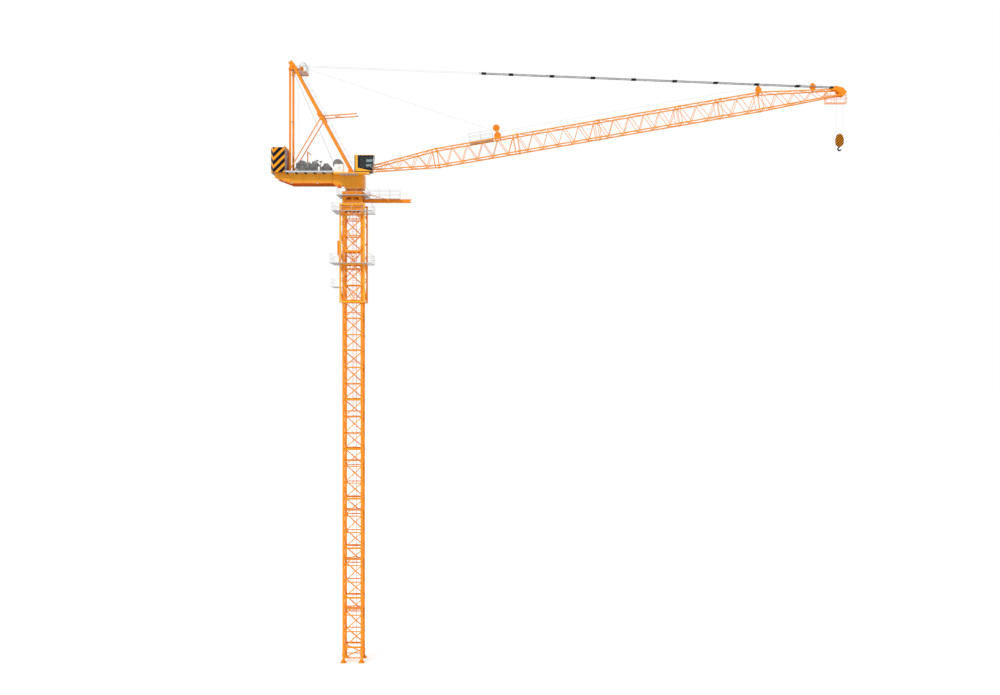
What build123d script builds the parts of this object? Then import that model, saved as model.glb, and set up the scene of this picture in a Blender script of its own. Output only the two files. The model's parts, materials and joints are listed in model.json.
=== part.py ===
"""Luffing-jib tower crane, a 1:2 scale model, in millimetres.
Z is up, X runs along the jib and Y from the cab's side to the other.
The origin is the centre of the four feet, on their soles."""

import os
from math import acos, atan2, cos, degrees, hypot, pi, radians, sin

from build123d import *

# Fits
seam = 0.3  # between pieces of one node, and at a seat on another body
run_fit = 0.3  # radial, between a pin and its bore

# Mast
mast_pitch = 1100  # leg to leg
leg = 125
bay = 1000
bays = 3
sections = 9
base_height = 1000
mast_heavy_bar = 110
mast_bar = 60
crown = 480  # height of the plated sides at the mast's top
landing_height = 2325  # above the foot of each section
landing_plate = 25
hatch_half = 160
hatch_near = 150
hatch_far = 480
ladder_gauge = 220
stringer = 24
stringer_depth = 40

# Feet
foot_plate = 350
foot_thickness = 40
foot_hole = 10  # radius
foot_hole_out = 135  # from the leg's middle towards the outer corner
flare_half = 160
flare_top = 260
flare_plate = 30
collar = 180
collar_low = 500
collar_high = 650
base_bar = 330  # height of the low bars

# Climbing frame
cage_pitch = 1450
cage_column = 100
cage_spans = [2290, 1760, 1850]  # between its ring beams, from the foot up
cage_drop = 200  # from the mast's top to the frame's head
cage_bar = 70
bar_inset = 20  # of a diagonal's end from the column
shoe = 200  # height of a guide shoe
ram_reach = 225
ram_width = 180
ram_height = 900
ram_rod = 90
ram_rod_height = 500

# Platforms on the tower
upper_drop = 525  # from the frame's head
lower_drop = 3600
ram_drop = 5025
upper_reach = 1200
lower_rear = -1325
lower_front = 1175
platform_side = 1100
ram_platform_rear = -1300
ram_platform_side = 720
slew_rise = 150  # from the mast's top
slew_reach = 925
slew_side = 1000
walk_end = 2825
walk_side = 300
floor_plate = 30
rail_height = 520
rail_bar = 20
post_spacing = 1100

# Introduction beam
beam_height = 200
beam_end = 3525
beam_inner = 60
beam_outer = 120
fork = 260  # length of the open tip
tie_rod = 30
tie_rod_y = 335
tie_rod_end = 2150

# Slewing
support_height = 550
support_wall = 40
window_half = 380
window_low = 210
window_high = 420
ring_radius = 540
ring_bore = 380
ring_height = 90
ring_step = 40
slew_gap = 0.5
turret_height = 910
turret_rear = -490
turret_front = 630
turret_wall = 40
turret_flange = 60
turret_ladder_inset = 150
turret_rungs = 5

# Deck
deck_plate = 40
girder_inner = 550
girder_outer = 650
deck_rear = -4690
deck_side = 1080
girder_rear_depth = 290
girder_depth = 770
girder_knee = -3750
girder_dip = -845
girder_dip_depth = 935
girder_neck = -1165
deck_beam = 80
deck_beam_depth = 390
deck_beam_places = [-4300, -3200, -2100, -1165]
walkway_rear = -4000
walkway_front = -1075
walkway_depth = 100
slabs = 5
slab = 350
slab_gap = 50
slab_rear = -4925
slab_front = -4030
slab_height = 1510
slab_chamfer = 200

# Winches, cabinet and davit
hoist_drum_x = -3100
hoist_drum_rise = 480  # above the deck
hoist_drum_radius = 240
hoist_drum_half = 320
hoist_stand = 400  # half the foot of its side plates
hoist_drive_rear = -2640
hoist_drive_front = -2060
hoist_drive_half = 330
hoist_drive_height = 620
hoist_motor_radius = 180
luff_drum_x = -940
luff_drum_rise = 610
luff_drum_radius = 210
luff_drum_half = 280
luff_stand = 320
luff_drive_rear = -1950
luff_drive_front = -1330
luff_drive_half = 300
luff_drive_height = 480
luff_motor_radius = 190
drum_flange = 1.43  # of the drum's radius
flange_plate = 20
shaft = 45  # radius
bearing = 40
bearing_gap = 25
cabinet_rear = -1060
cabinet_front = -480
cabinet_near = -1000
cabinet_far = -690
cabinet_height = 555
davit_x = -2890
davit_y = 470
davit_post = 60
davit_height = 1500
davit_reach = 230
davit_drop = 150
davit_arm = 50

# A-frame
strut = 165
strut_y = 560
strut_foot_x = -170
strut_foot_rise = 285
strut_head_x = -3700
strut_head_rise = 6710
head_rise = 6360  # where struts and ties meet the head plates
head_top = 470  # of the head plates, above that
head_back = 75  # behind the ties' middle
head_margin = 33
head_plate = 100
head_beam = 100  # height of the beams across the head
head_beam_lift = 5
tie_x = -3785
tie_width = 120
tie_plate = 60
tie_y = 540
luff_sheave_x = -3600
luff_sheave_rise = 6485
luff_sheave_radius = 150
lead_sheave_x = -3215
lead_sheave_rise = 6440
lead_sheave_radius = 150
lead_pin = 30  # radius
lead_arm = 45  # half the arm's height at the pin
sheave_half = 20
sheave_gap = 25
brace = 60
knee_rise = 3610
backstop = 80
backstop_rise = 3490
backstop_x = 200
backstop_climb = 155
backstop_gap = 20  # inside the strut's inner face
backstop_link = 0.4  # of the arm's length
cross_link = 50
cross_link_rises = [3200, 6040]
head_platform_drop = 230  # below the head plates' foot
head_platform_rear = -3250
head_platform_front = -2700

# Cab
cab_rear = 230
cab_front = 1350
cab_drop = 65  # of its floor below the deck
cab_height = 1030
cab_near = -1450
cab_far = -750
cab_wall = 30
cab_lean = 85
cab_pillar = 330
cab_sill = 260
cab_header = 110
cab_front_pillar = 40
glass = 8
glass_inset = 10
glass_fit = 0.5
cab_walk_rear = -1065
cab_walk_front = 1100
cab_walk_depth = 70

# Jib, in distance along its axis from the pivot and height above the axis
pivot_x = 175
pivot_rise = 185
jib_angle = 9.89
jib_ends = [0, 5000, 10000, 15000, 20000, 22500, 25000, 29440]
jib_half_height = 470
jib_half_width = 462.5
tip_half_width = 250
tip_upper = -90
foot_half = 20
chord = 65
lacing = 36
panel = 500
post_inset = 40
pin_radius = 45
lug_radius = 100
bracket_plate = 20
bracket_head = 75
bracket_gap = 7.5
pendant_pin = (29620, 38)
pendant_pin_radius = 28
head_sheave = (29875, -318)
sheave_pin = 40
guide = (8858, 927)  # where the hoist rope passes the first pulleys
guide_radius = 225
small_pulleys = [(25019, 713), (28325, 315)]
small_radius = 175
pulley_half = 18
pulley_axle = 25
pulley_cheek = 20
pulley_cheek_y = 40
pulley_foot = 40
pulley_brow = 110  # of a small pulley's cheeks above its axle
guide_post = 50
guide_post_rise = 1.3  # of the pulley's radius, above the rope
jib_head_plate = 30
jib_head_radius = 250
jib_head_crest = 60  # above the pendant pin
jib_walk_start = 7100
jib_walk_end = 8560
jib_walk_half = 430
basket_start = 28770
basket_end = 30060
basket_inner = 100
basket_outer = 340
basket_drop = 640  # below the head sheave
basket_hangers = [50, 440]  # from its start
hanger = 40

# Ropes and hook
luff_rope = 9  # radius
hoist_rope = 7
pendant_y = 150
pendant_length = 21785
pendant_bar = 2500  # from link to link
pendant_first = 2120  # from the jib's pin to the first link after it
pendant_link = 280
pendant_tail = 1000
bar_size = 40
tail_size = 30
link_overhang = 60
fall = 200  # from the hook's centre line to each fall
hook_drop = 2800  # from the head sheave to the block's sheave
block_half_width = 240
block_half_height = 390
block_centre = 100  # of the cheeks below the sheave
cheek_y = 90
cheek_plate = 40
crosshead_half = 120
crosshead_height = 180
hook_shank = 400
hook_shank_length = 240
hook_neck = 45
hook_neck_front = 20
hook_eye = 660
hook_outer = 140
hook_inner = 78
hook_thick = 80

# Heights and widths that follow
half = mast_pitch / 2
inner = half - leg / 2
outer = half + leg / 2
section = bays * bay
mast_top = base_height + sections * section
cage = cage_pitch / 2
cage_inner = cage - cage_column / 2
cage_outer = cage + cage_column / 2
cage_head = mast_top - cage_drop
cage_foot = cage_head - sum(cage_spans) - cage_column
upper_platform = cage_head - upper_drop
lower_platform = cage_head - lower_drop
ram_platform = cage_head - ram_drop
slew_platform = mast_top + slew_rise
beam_top = slew_platform - floor_plate
ring_foot = mast_top + support_height
flange = ring_foot + 2 * ring_height + slew_gap
deck_top = flange + turret_height
head_floor = deck_top + head_rise
strut_foot = (strut_foot_x, deck_top + strut_foot_rise)
strut_head = (strut_head_x, deck_top + strut_head_rise)
luff_sheave = (luff_sheave_x, deck_top + luff_sheave_rise)
lead_sheave = (lead_sheave_x, deck_top + lead_sheave_rise)
hoist_drum = (hoist_drum_x, deck_top + hoist_drum_rise)
luff_drum = (luff_drum_x, deck_top + luff_drum_rise)
cab_floor = deck_top - cab_drop
cab_roof = cab_floor + cab_height
pivot = (pivot_x, deck_top + pivot_rise)

parts = {}


def write(name, solids):
    """Keeps a node's solids until all are exported."""
    parts[name] = [s for item in solids for s in item.solids()]


def block(x0, x1, y0, y1, z0, z1):
    """A box between two corners."""
    return Pos((x0 + x1) / 2, (y0 + y1) / 2, (z0 + z1) / 2) * Box(x1 - x0, y1 - y0, z1 - z0)


def strip(start, end, width):
    """The outline of a straight bar in its own flat side."""
    run = (end[0] - start[0], end[1] - start[1])
    middle = ((start[0] + end[0]) / 2, (start[1] + end[1]) / 2)
    return Pos(*middle) * Rot(0, 0, degrees(atan2(run[1], run[0]))) * Rectangle(hypot(*run), width)


def flat(plane, outlines, thickness, limit=None):
    """Bars of one flat side, fused where they cross and cut to a limit, centred on the plane."""
    outline = Sketch() + outlines
    if limit is not None:
        outline = outline & limit
    return extrude(plane * outline, amount=thickness / 2, both=True)


def front_plane(y):
    """A plane that faces the near side: sketch x is X and sketch y is Z."""
    return Plane.XZ.offset(-y)


def plate(points, y0, y1):
    """A plate cut to an outline in X and Z, from y0 to y1."""
    return extrude(front_plane(y0) * Polygon(*points, align=None), amount=-(y1 - y0))


def pin(centre, radius, y0, y1):
    """A round pin or bore whose axis lies across the crane."""
    return Pos(centre[0], (y0 + y1) / 2, centre[1]) * Rot(90, 0, 0) * Cylinder(radius, y1 - y0)


def bore(centre, radius, y0, y1):
    """A twelve-sided hole across the crane, whose flats stand clear of a pin of the radius."""
    outline = Pos(*centre) * RegularPolygon(radius + run_fit, 12, major_radius=False)
    return extrude(front_plane(y0 - 1) * outline, amount=-(y1 - y0 + 2))


def wheel(centre, radius, y0, y1, facing=0.0, sides=20):
    """A many-sided disc across the crane, with a corner that faces a direction, in degrees."""
    outline = Pos(*centre) * Rot(0, 0, facing) * RegularPolygon(radius, sides)
    return extrude(front_plane(y0) * outline, amount=-(y1 - y0))


def shaft_way(z0, z1):
    """The open way down the slewing axis, of 24 sides."""
    return extrude(Plane.XY.offset(z0) * RegularPolygon(ring_bore, 24, major_radius=False), amount=z1 - z0)


def disc(radius, z0, z1):
    """A flat disc of 24 sides about the slewing axis."""
    return extrude(Plane.XY.offset(z0) * RegularPolygon(radius, 24), amount=z1 - z0)


def beam(start, end, width, depth):
    """A straight bar between two points, of a width in the vertical plane and a depth across it."""
    start, end = Vector(*start), Vector(*end)
    run = (end - start).normalized()
    side = Vector(0, 1, 0) if abs(run.Y) < 0.9 else Vector(1, 0, 0)
    side = side - run * side.dot(run)
    outline = Plane(start, x_dir=side, z_dir=run) * Rectangle(depth, width)
    return extrude(outline, amount=(end - start).length)


def rope(start, end, radius, y=0.0):
    """A six-sided rope between two points in X and Z."""
    start, end = Vector(start[0], y, start[1]), Vector(end[0], y, end[1])
    hexagon = RegularPolygon(radius, 6, major_radius=False)
    run = end - start
    return extrude(Plane(start, x_dir=(0, 1, 0), z_dir=run.normalized()) * hexagon, amount=run.length)


def tangent(first, first_radius, second, second_radius):
    """Start and end of the line that touches two wheels on the left of the way, and the angle it faces."""
    run = (second[0] - first[0], second[1] - first[1])
    turn = atan2(run[1], run[0]) + acos((first_radius - second_radius) / hypot(*run))
    out = (cos(turn), sin(turn))
    start = (first[0] + first_radius * out[0], first[1] + first_radius * out[1])
    end = (second[0] + second_radius * out[0], second[1] + second_radius * out[1])
    return start, end, degrees(turn)


def along(start, end, distance):
    """The point at a distance from start on the way to end."""
    run = (end[0] - start[0], end[1] - start[1])
    share = distance / hypot(*run)
    return (start[0] + run[0] * share, start[1] + run[1] * share)


def both_sides(solids):
    """The near side's solids and their mirror on the far side."""
    return solids + [mirror(s, about=Plane.XZ) for s in solids]


def railing(plane, start, end, floor):
    """A flat railing: posts, a top rail and a middle rail, from start to end along the plane's own x."""
    top = floor + rail_height
    bars = [strip((start, z), (end, z), rail_bar) for z in (top - rail_bar / 2, floor + rail_height / 2)]
    spaces = max(1, round((end - start) / post_spacing))
    for i in range(spaces + 1):
        x = start + rail_bar / 2 + i * (end - start - rail_bar) / spaces
        bars += [strip((x, floor + seam), (x, top), rail_bar)]
    return flat(plane, bars, rail_bar)


# Mast


def mast_bars(height, plated):
    """Cross bars and single diagonals of one side, from the foot up, and a plate under its top."""
    bars = [strip((-half, mast_heavy_bar / 2), (half, mast_heavy_bar / 2), mast_heavy_bar)]
    for i in range(round(height / bay)):
        low = i * bay if i else mast_heavy_bar / 2
        high = min((i + 1) * bay, height - mast_bar)
        if i:
            bars += [strip((-half, low), (half, low), mast_bar)]
        bars += [strip((-half, low), (half, high), mast_bar)]
    if plated:
        middle = height - seam - plated / 2
        bars += [strip((-half, middle), (half, middle), plated)]
    return bars


def mast_section(plated=0):
    """Four flat sides, a landing with its hatch and two ladder stringers, standing at z = 0."""
    top = section - seam
    plane = front_plane(-half)
    frame = flat(plane, mast_bars(section, plated), mast_bar)
    for x in (-half, half):
        frame += block(x - leg / 2, x + leg / 2, -outer, -inner, 0, top)
    reach = inner - seam
    limit = Pos(0, section / 2) * Rectangle(2 * reach, section)
    lace = flat(plane, mast_bars(section, plated), mast_bar, limit)
    depth = half - mast_bar / 2 - seam
    landing = block(-reach, reach, -depth, depth, landing_height, landing_height + landing_plate)
    landing -= block(-hatch_half, hatch_half, hatch_near, hatch_far, landing_height - 1, section)
    solids = [frame, Rot(0, 0, 180) * frame, Rot(0, 0, 90) * lace, Rot(0, 0, 270) * lace, landing]
    back = hatch_far - seam
    for x in (-ladder_gauge / 2, ladder_gauge / 2):
        solids += [block(x - stringer / 2, x + stringer / 2, back - stringer_depth, back, 0, top)]
    return solids


def mast_foot():
    """A leg on its base plate, with flared stiffeners and a collar, standing at the origin."""
    edge, post, sleeve = foot_plate / 2, leg / 2, collar / 2
    foot = block(-post, post, -post, post, 0, base_height)
    foot += block(-edge, edge, -edge, edge, 0, foot_thickness)
    foot += block(-sleeve, sleeve, -sleeve, sleeve, collar_low, collar_high)
    wide, low = flare_half, foot_thickness
    flare = [(-wide, low), (wide, low), (post, flare_top), (-post, flare_top)]
    stiffener = plate(flare, -flare_plate / 2, flare_plate / 2)
    foot += stiffener + Rot(0, 0, 90) * stiffener
    return foot - Pos(foot_hole_out, foot_hole_out, 0) * Cylinder(foot_hole, 3 * foot_thickness)


def mast():
    foot = mast_foot()
    reach = inner - seam
    limit = Pos(0, base_height / 2) * Rectangle(2 * reach, base_height)
    low, high = (-half, base_bar), (half, base_height - mast_bar)
    bars = [strip(low, (half, base_bar), mast_bar), strip(low, high, mast_bar)]
    lace = flat(front_plane(-half), bars, mast_bar, limit)
    solids = []
    for turn in (0, 90, 180, 270):
        solids += [Rot(0, 0, turn) * Pos(half, half, 0) * foot, Rot(0, 0, turn) * lace]
    write("mast_base", solids)

    one, last = mast_section(), mast_section(crown)
    groups = ["mast_lower_sections", "mast_middle_sections", "mast_upper_sections"]
    nodes = {name: [] for name in groups}
    for i in range(sections):
        solids = last if i == sections - 1 else one
        place = Pos(0, 0, base_height + i * section)
        nodes[groups[i * len(groups) // sections]] += [place * s for s in solids]
    for name in groups:
        write(name, nodes[name])


# Climbing frame


def cage_bars(levels):
    """Ring beams at the foot, the first level and the head, and a diamond of diagonals in each span."""
    bars = [strip((-cage, z), (cage, z), cage_column) for z in (levels[0], levels[1], levels[-1])]
    reach = cage_inner - bar_inset
    for low, high in zip(levels, levels[1:]):
        middle = (low + high) / 2
        for x in (-reach, reach):
            bars += [strip((0, low), (x, middle), cage_bar), strip((x, middle), (0, high), cage_bar)]
    return bars


def climbing_frame():
    levels = [cage_foot + cage_column / 2]
    for span in cage_spans:
        levels += [levels[-1] + span]
    plane = front_plane(-cage)
    frame = flat(plane, cage_bars(levels), cage_bar)
    for side in (-1, 1):
        faces = sorted((side * cage_inner, side * cage_outer))
        frame += block(*faces, -cage_outer, -cage_inner, cage_foot, cage_head)
        ends = sorted((side * (outer + seam), side * cage))
        for z in (cage_foot, levels[1] - shoe / 2, cage_head - shoe):
            frame += block(*ends, -cage, -inner, z, z + shoe)
    inside = cage_inner - seam
    limit = Pos(0, (cage_foot + cage_head) / 2) * Rectangle(2 * inside, cage_head - cage_foot)
    rear = flat(plane, cage_bars(levels), cage_bar, limit)
    front = flat(plane, cage_bars(levels[:2]), cage_bar, limit)  # open above, where new sections come in
    write("climbing_frame", [frame, Rot(0, 0, 180) * frame, Rot(0, 0, 270) * rear, Rot(0, 0, 90) * front])

    housing = lower_platform + ram_rod_height
    back = -cage_outer - ram_reach
    ram = block(back, -cage_outer, -ram_width / 2, ram_width / 2, housing, housing + ram_height)
    ram += block(back + bar_inset, -cage_outer, -ram_rod / 2, ram_rod / 2, lower_platform, housing)
    write("climbing_ram", [ram])


# Platforms and railings of the tower


def ring_platform(level, x0, x1, side, hole):
    """Four floor strips around the tower, that don't touch each other."""
    z0 = level - floor_plate
    return [
        block(x0, x1, -side, -hole, z0, level),
        block(x0, x1, hole, side, z0, level),
        block(x0, -hole, -hole + seam, hole - seam, z0, level),
        block(hole, x1, -hole + seam, hole - seam, z0, level),
    ]


def ring_rails(level, x0, x1, side):
    """Railings on the outer edges of a platform."""
    edge = rail_bar / 2
    end = side - rail_bar - seam
    rails = [railing(front_plane(y), x0, x1, level) for y in (-side + edge, side - edge)]
    return rails + [railing(Plane.YZ.offset(x), -end, end, level) for x in (x0 + edge, x1 - edge)]


def tower_platforms():
    floors = ring_platform(upper_platform, -upper_reach, upper_reach, platform_side, cage_outer)
    floors += ring_platform(lower_platform, lower_rear, lower_front, platform_side, cage_outer)
    small = ram_platform_side
    floors += [block(ram_platform_rear, -cage_outer, -small, small, ram_platform - floor_plate, ram_platform)]
    floors += ring_platform(slew_platform, -slew_reach, slew_reach, slew_side, outer)
    floors += [block(slew_reach + seam, walk_end, -walk_side, walk_side, beam_top, slew_platform)]
    write("tower_platforms", floors)

    edge = rail_bar / 2
    end = slew_side - rail_bar - seam
    gate = tie_rod_y + tie_rod
    rails = ring_rails(upper_platform, -upper_reach, upper_reach, platform_side)
    rails += ring_rails(lower_platform, lower_rear, lower_front, platform_side)
    rails += [railing(Plane.YZ.offset(ram_platform_rear + edge), -small, small, ram_platform)]
    rails += [railing(Plane.YZ.offset(-slew_reach + edge), -end, end, slew_platform)]
    start = slew_reach + rail_bar
    for side in (-1, 1):
        rails += [railing(front_plane(side * (slew_side - edge)), -slew_reach, slew_reach, slew_platform)]
        ends = sorted((side * gate, side * end))
        rails += [railing(Plane.YZ.offset(slew_reach - edge), *ends, slew_platform)]
        rails += [railing(front_plane(side * (walk_side - edge)), start, walk_end, slew_platform)]
    write("tower_rails", rails)


def introduction_beam():
    """Two rails on cross bars, forked at the tip, hung from the slewing support by a tie rod on each side."""
    low, high = beam_top - beam_height, beam_top
    inset = beam_height / 5
    solid = block(outer, beam_end, -beam_outer, -beam_inner, low, high)
    solid += block(outer, beam_end, beam_inner, beam_outer, low, high)
    for x in (outer + beam_inner, tie_rod_end, beam_end - fork):
        reach = tie_rod_y + tie_rod if x == tie_rod_end else beam_outer
        solid += block(x - beam_inner / 2, x + beam_inner / 2, -reach, reach, low + inset, high - inset)
    tip = [(beam_end - fork, high + 1), (beam_end + 1, high + 1), (beam_end + 1, low + beam_height / 2)]
    solid -= plate(tip, -beam_outer - 1, beam_outer + 1)
    start = (outer, -tie_rod_y, ring_foot - support_wall)
    end = (tie_rod_end, -tie_rod_y, beam_top - inset - tie_rod / 2)
    rod = beam(start, end, tie_rod, tie_rod)
    solid += rod + mirror(rod, about=Plane.XZ)
    slew_box = block(-outer, outer, -outer, outer, mast_top, ring_foot)
    write("introduction_beam", [solid - slew_box])


# Slewing support and ring


def slewing():
    wall = outer - support_wall
    support = block(-outer, outer, -outer, outer, mast_top, ring_foot)
    support -= block(-wall, wall, -wall, wall, mast_top - 1, ring_foot - support_wall)
    support -= shaft_way(mast_top, ring_foot)
    low, high = mast_top + window_low, mast_top + window_high
    window = block(-2 * outer, 2 * outer, -window_half, window_half, low, high)
    support -= window + Rot(0, 0, 90) * window
    write("slewing_support", [support])
    top = ring_foot + ring_height
    lower = disc(ring_radius, ring_foot, top) - Pos(0, 0, top) * Cylinder(ring_bore, 3 * ring_height)
    write("slewing_ring_lower", [lower])
    upper = disc(ring_radius - ring_step, flange - ring_height, flange) - shaft_way(ring_foot, flange)
    write("slewing_ring_upper", [upper])


# Turret and deck


def turret():
    top = deck_top - deck_plate
    body = block(turret_rear, turret_front, -girder_outer, girder_outer, flange, flange + turret_flange)
    body += block(turret_rear, turret_front, -girder_inner, girder_inner, flange, top)
    wall = girder_inner - turret_wall
    rear, front = turret_rear + turret_wall, turret_front - turret_wall
    body -= block(rear, front, -wall, wall, flange + turret_flange, deck_top)
    write("turret", [body - shaft_way(flange, deck_top)])

    near = -girder_inner + turret_ladder_inset
    far = near + ladder_gauge
    bars = [strip((y, flange + stringer), (y, deck_top), stringer) for y in (near, far)]
    for i in range(turret_rungs):
        z = flange + (i + 1) * turret_height / (turret_rungs + 1)
        bars += [strip((near, z), (far, z), rail_bar)]
    write("turret_ladder", [flat(Plane.YZ.offset(turret_front + rail_bar / 2 + seam), bars, rail_bar)])


def deck():
    """The girders beside the turret, the floor between them and the walkways outside."""
    low = flange + turret_flange
    web = [
        (deck_rear, deck_top),
        (deck_rear, deck_top - girder_rear_depth),
        (girder_knee, deck_top - girder_depth),
        (girder_neck, deck_top - girder_depth),
        (girder_dip, deck_top - girder_dip_depth),
        (turret_rear, low),
        (turret_front, low),
        (turret_front, deck_top),
    ]
    write("deck_girders", both_sides([plate(web, -girder_outer, -girder_inner)]))

    under = deck_top - deck_plate
    floor = block(deck_rear, turret_front, -girder_inner, girder_inner, under, deck_top)
    for x in deck_beam_places:
        sides = (x - deck_beam / 2, x + deck_beam / 2)
        floor += block(*sides, -girder_inner, girder_inner, deck_top - deck_beam_depth, under)
    write("deck_floor", [floor])
    top = deck_top - deck_plate / 2
    walk = block(walkway_rear, walkway_front, -deck_side, -girder_outer, top - walkway_depth, top)
    write("deck_walkways", both_sides([walk]))


def counterweights():
    """Slabs on edge across the deck, the outer two with their rear corner cut off."""
    pitch = slab + slab_gap
    solids = []
    for i in range(slabs):
        y = (i - (slabs - 1) / 2) * pitch
        solids += [block(slab_rear, slab_front, y - slab / 2, y + slab / 2, deck_top, deck_top + slab_height)]
    side = (slabs - 1) / 2 * pitch + slab / 2
    points = [(slab_rear - 1, -side - 1), (slab_rear + slab_chamfer, -side - 1), (slab_rear - 1, slab - side)]
    cut = extrude(Plane.XY.offset(deck_top) * Polygon(*points, align=None), amount=slab_height)
    solids[0] -= cut
    solids[-1] -= mirror(cut, about=Plane.XZ)
    write("counterweights", solids)


# Winches, cabinet and davit


def drum(centre, radius, half_length, facing):
    """A rope drum between two flanges on a round shaft."""
    solid = wheel(centre, radius, -half_length, half_length, facing)
    for y in (-half_length, half_length - flange_plate):
        solid += wheel(centre, drum_flange * radius, y, y + flange_plate)
    end = half_length + bearing_gap + bearing
    return solid + pin(centre, shaft, -end, end)


def winch_frame(centre, half_length, reach):
    """Two side plates that carry the shaft, on the deck."""
    x, z = centre
    head = 2 * shaft
    outline = [(x - reach, deck_top), (x + reach, deck_top), (x + head, z + head), (x - head, z + head)]
    start = -half_length - bearing_gap - bearing
    side = plate(outline, start, start + bearing) - bore(centre, shaft, start, start + bearing)
    return both_sides([side])


def drive(rear, front, half_width, height, motor_radius):
    """A gearbox on the deck, with its motor lying across its top."""
    gearbox = block(rear, front, -half_width, half_width, deck_top, deck_top + height)
    end = half_width - bearing
    return gearbox + wheel(((rear + front) / 2, deck_top + height), motor_radius, -end, end)


def machinery():
    facing = tangent(hoist_drum, hoist_drum_radius + hoist_rope + seam, lead_sheave, lead_sheave_radius)[2]
    write("hoist_drum", [drum(hoist_drum, hoist_drum_radius, hoist_drum_half, facing)])
    sizes = (hoist_drive_rear, hoist_drive_front, hoist_drive_half, hoist_drive_height, hoist_motor_radius)
    write("hoist_winch", winch_frame(hoist_drum, hoist_drum_half, hoist_stand) + [drive(*sizes)])
    facing = tangent(luff_drum, luff_drum_radius + luff_rope + seam, luff_sheave, luff_sheave_radius)[2]
    write("luffing_drum", [drum(luff_drum, luff_drum_radius, luff_drum_half, facing)])
    sizes = (luff_drive_rear, luff_drive_front, luff_drive_half, luff_drive_height, luff_motor_radius)
    write("luffing_winch", winch_frame(luff_drum, luff_drum_half, luff_stand) + [drive(*sizes)])

    top = cab_floor + cabinet_height
    write("electric_cabinet", [block(cabinet_rear, cabinet_front, cabinet_near, cabinet_far, cab_floor, top)])
    size = davit_post / 2
    top = deck_top + davit_height
    post = block(davit_x - size, davit_x + size, davit_y - size, davit_y + size, deck_top, top)
    start, end = (davit_x, top - davit_post), (davit_x + davit_reach, top - davit_post - davit_drop)
    write("service_davit", [post + beam(at(start, davit_y), at(end, davit_y), davit_arm, davit_arm)])


# A-frame

strut_near = -strut_y - strut / 2
strut_far = -strut_y + strut / 2


def on_strut(z):
    """The point of the strut's centre line at a height."""
    share = (z - strut_foot[1]) / (strut_head[1] - strut_foot[1])
    return (strut_foot[0] + share * (strut_head[0] - strut_foot[0]), z)


def at(point, y):
    """A point in X and Z set at a Y."""
    return (point[0], y, point[1])


def strut_bar():
    """The near strut, from its foot plate to the head plates."""
    bar = beam(at(on_strut(deck_top - strut), -strut_y), at(strut_head, -strut_y), strut, strut)
    return bar & block(2 * deck_rear, turret_front, 2 * strut_near, 0, deck_top + foot_thickness, head_floor)


def a_frame_legs(bar):
    x = on_strut(deck_top)[0]
    foot = block(x - 1.5 * strut, x + 0.2 * strut, strut_near, strut_far, deck_top, deck_top + foot_thickness)
    write("a_frame_struts", both_sides([bar + foot]))
    sides = (-tie_y - tie_plate / 2, -tie_y + tie_plate / 2)
    tie = block(tie_x - tie_width / 2, tie_x + tie_width / 2, *sides, deck_top, head_floor)
    write("a_frame_ties", both_sides([tie]))


def a_frame_head():
    """Two head plates with the sheave pin and two cross beams between them."""
    rear = tie_x - head_back
    front = luff_sheave[0] + luff_sheave_radius + head_margin
    top = head_floor + head_top
    outline = [
        (rear, head_floor),
        (front - head_margin, head_floor),
        (front, luff_sheave[1]),
        (strut_head[0] + luff_sheave_radius, top - head_margin),
        (strut_head[0], top),
        (strut_head[0] - head_back, top),
        (rear - head_margin, top - luff_sheave_radius),
        (rear, luff_sheave[1]),
    ]
    near = plate(outline, strut_near, strut_near + head_plate)
    head = near + mirror(near, about=Plane.XZ) + pin(luff_sheave, shaft, strut_near, -strut_near)
    low = head_floor + head_beam_lift
    high = low + head_beam
    beam_front = lead_sheave[0] - lead_sheave_radius - sheave_gap
    for x in (rear, beam_front - tie_plate):
        head += block(x, x + tie_plate, strut_near, -strut_near, low, high)
    write("a_frame_head", [head])

    groove = luff_sheave_radius - luff_rope - seam
    y0, y1 = -pendant_y - sheave_half, -pendant_y + sheave_half
    sheave = wheel(luff_sheave, groove, y0, y1) - bore(luff_sheave, shaft, y0, y1)
    write("a_frame_sheaves", both_sides([sheave]))

    x, z = lead_sheave
    facing = tangent(lead_sheave, lead_sheave_radius, guide_point, 0)[2]
    groove = lead_sheave_radius - hoist_rope - seam
    end = pulley_cheek_y + pulley_cheek
    lead = wheel(lead_sheave, groove, -sheave_half, sheave_half, facing)
    lead += pin(lead_sheave, lead_pin, -end, end)
    arm = [(beam_front, low), (beam_front, high), (x + lead_arm, z + lead_arm), (x + lead_arm, z - lead_arm)]
    for y in (-end, pulley_cheek_y):
        lead += plate(arm, y, y + pulley_cheek)
    write("lead_sheave", [lead])


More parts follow.
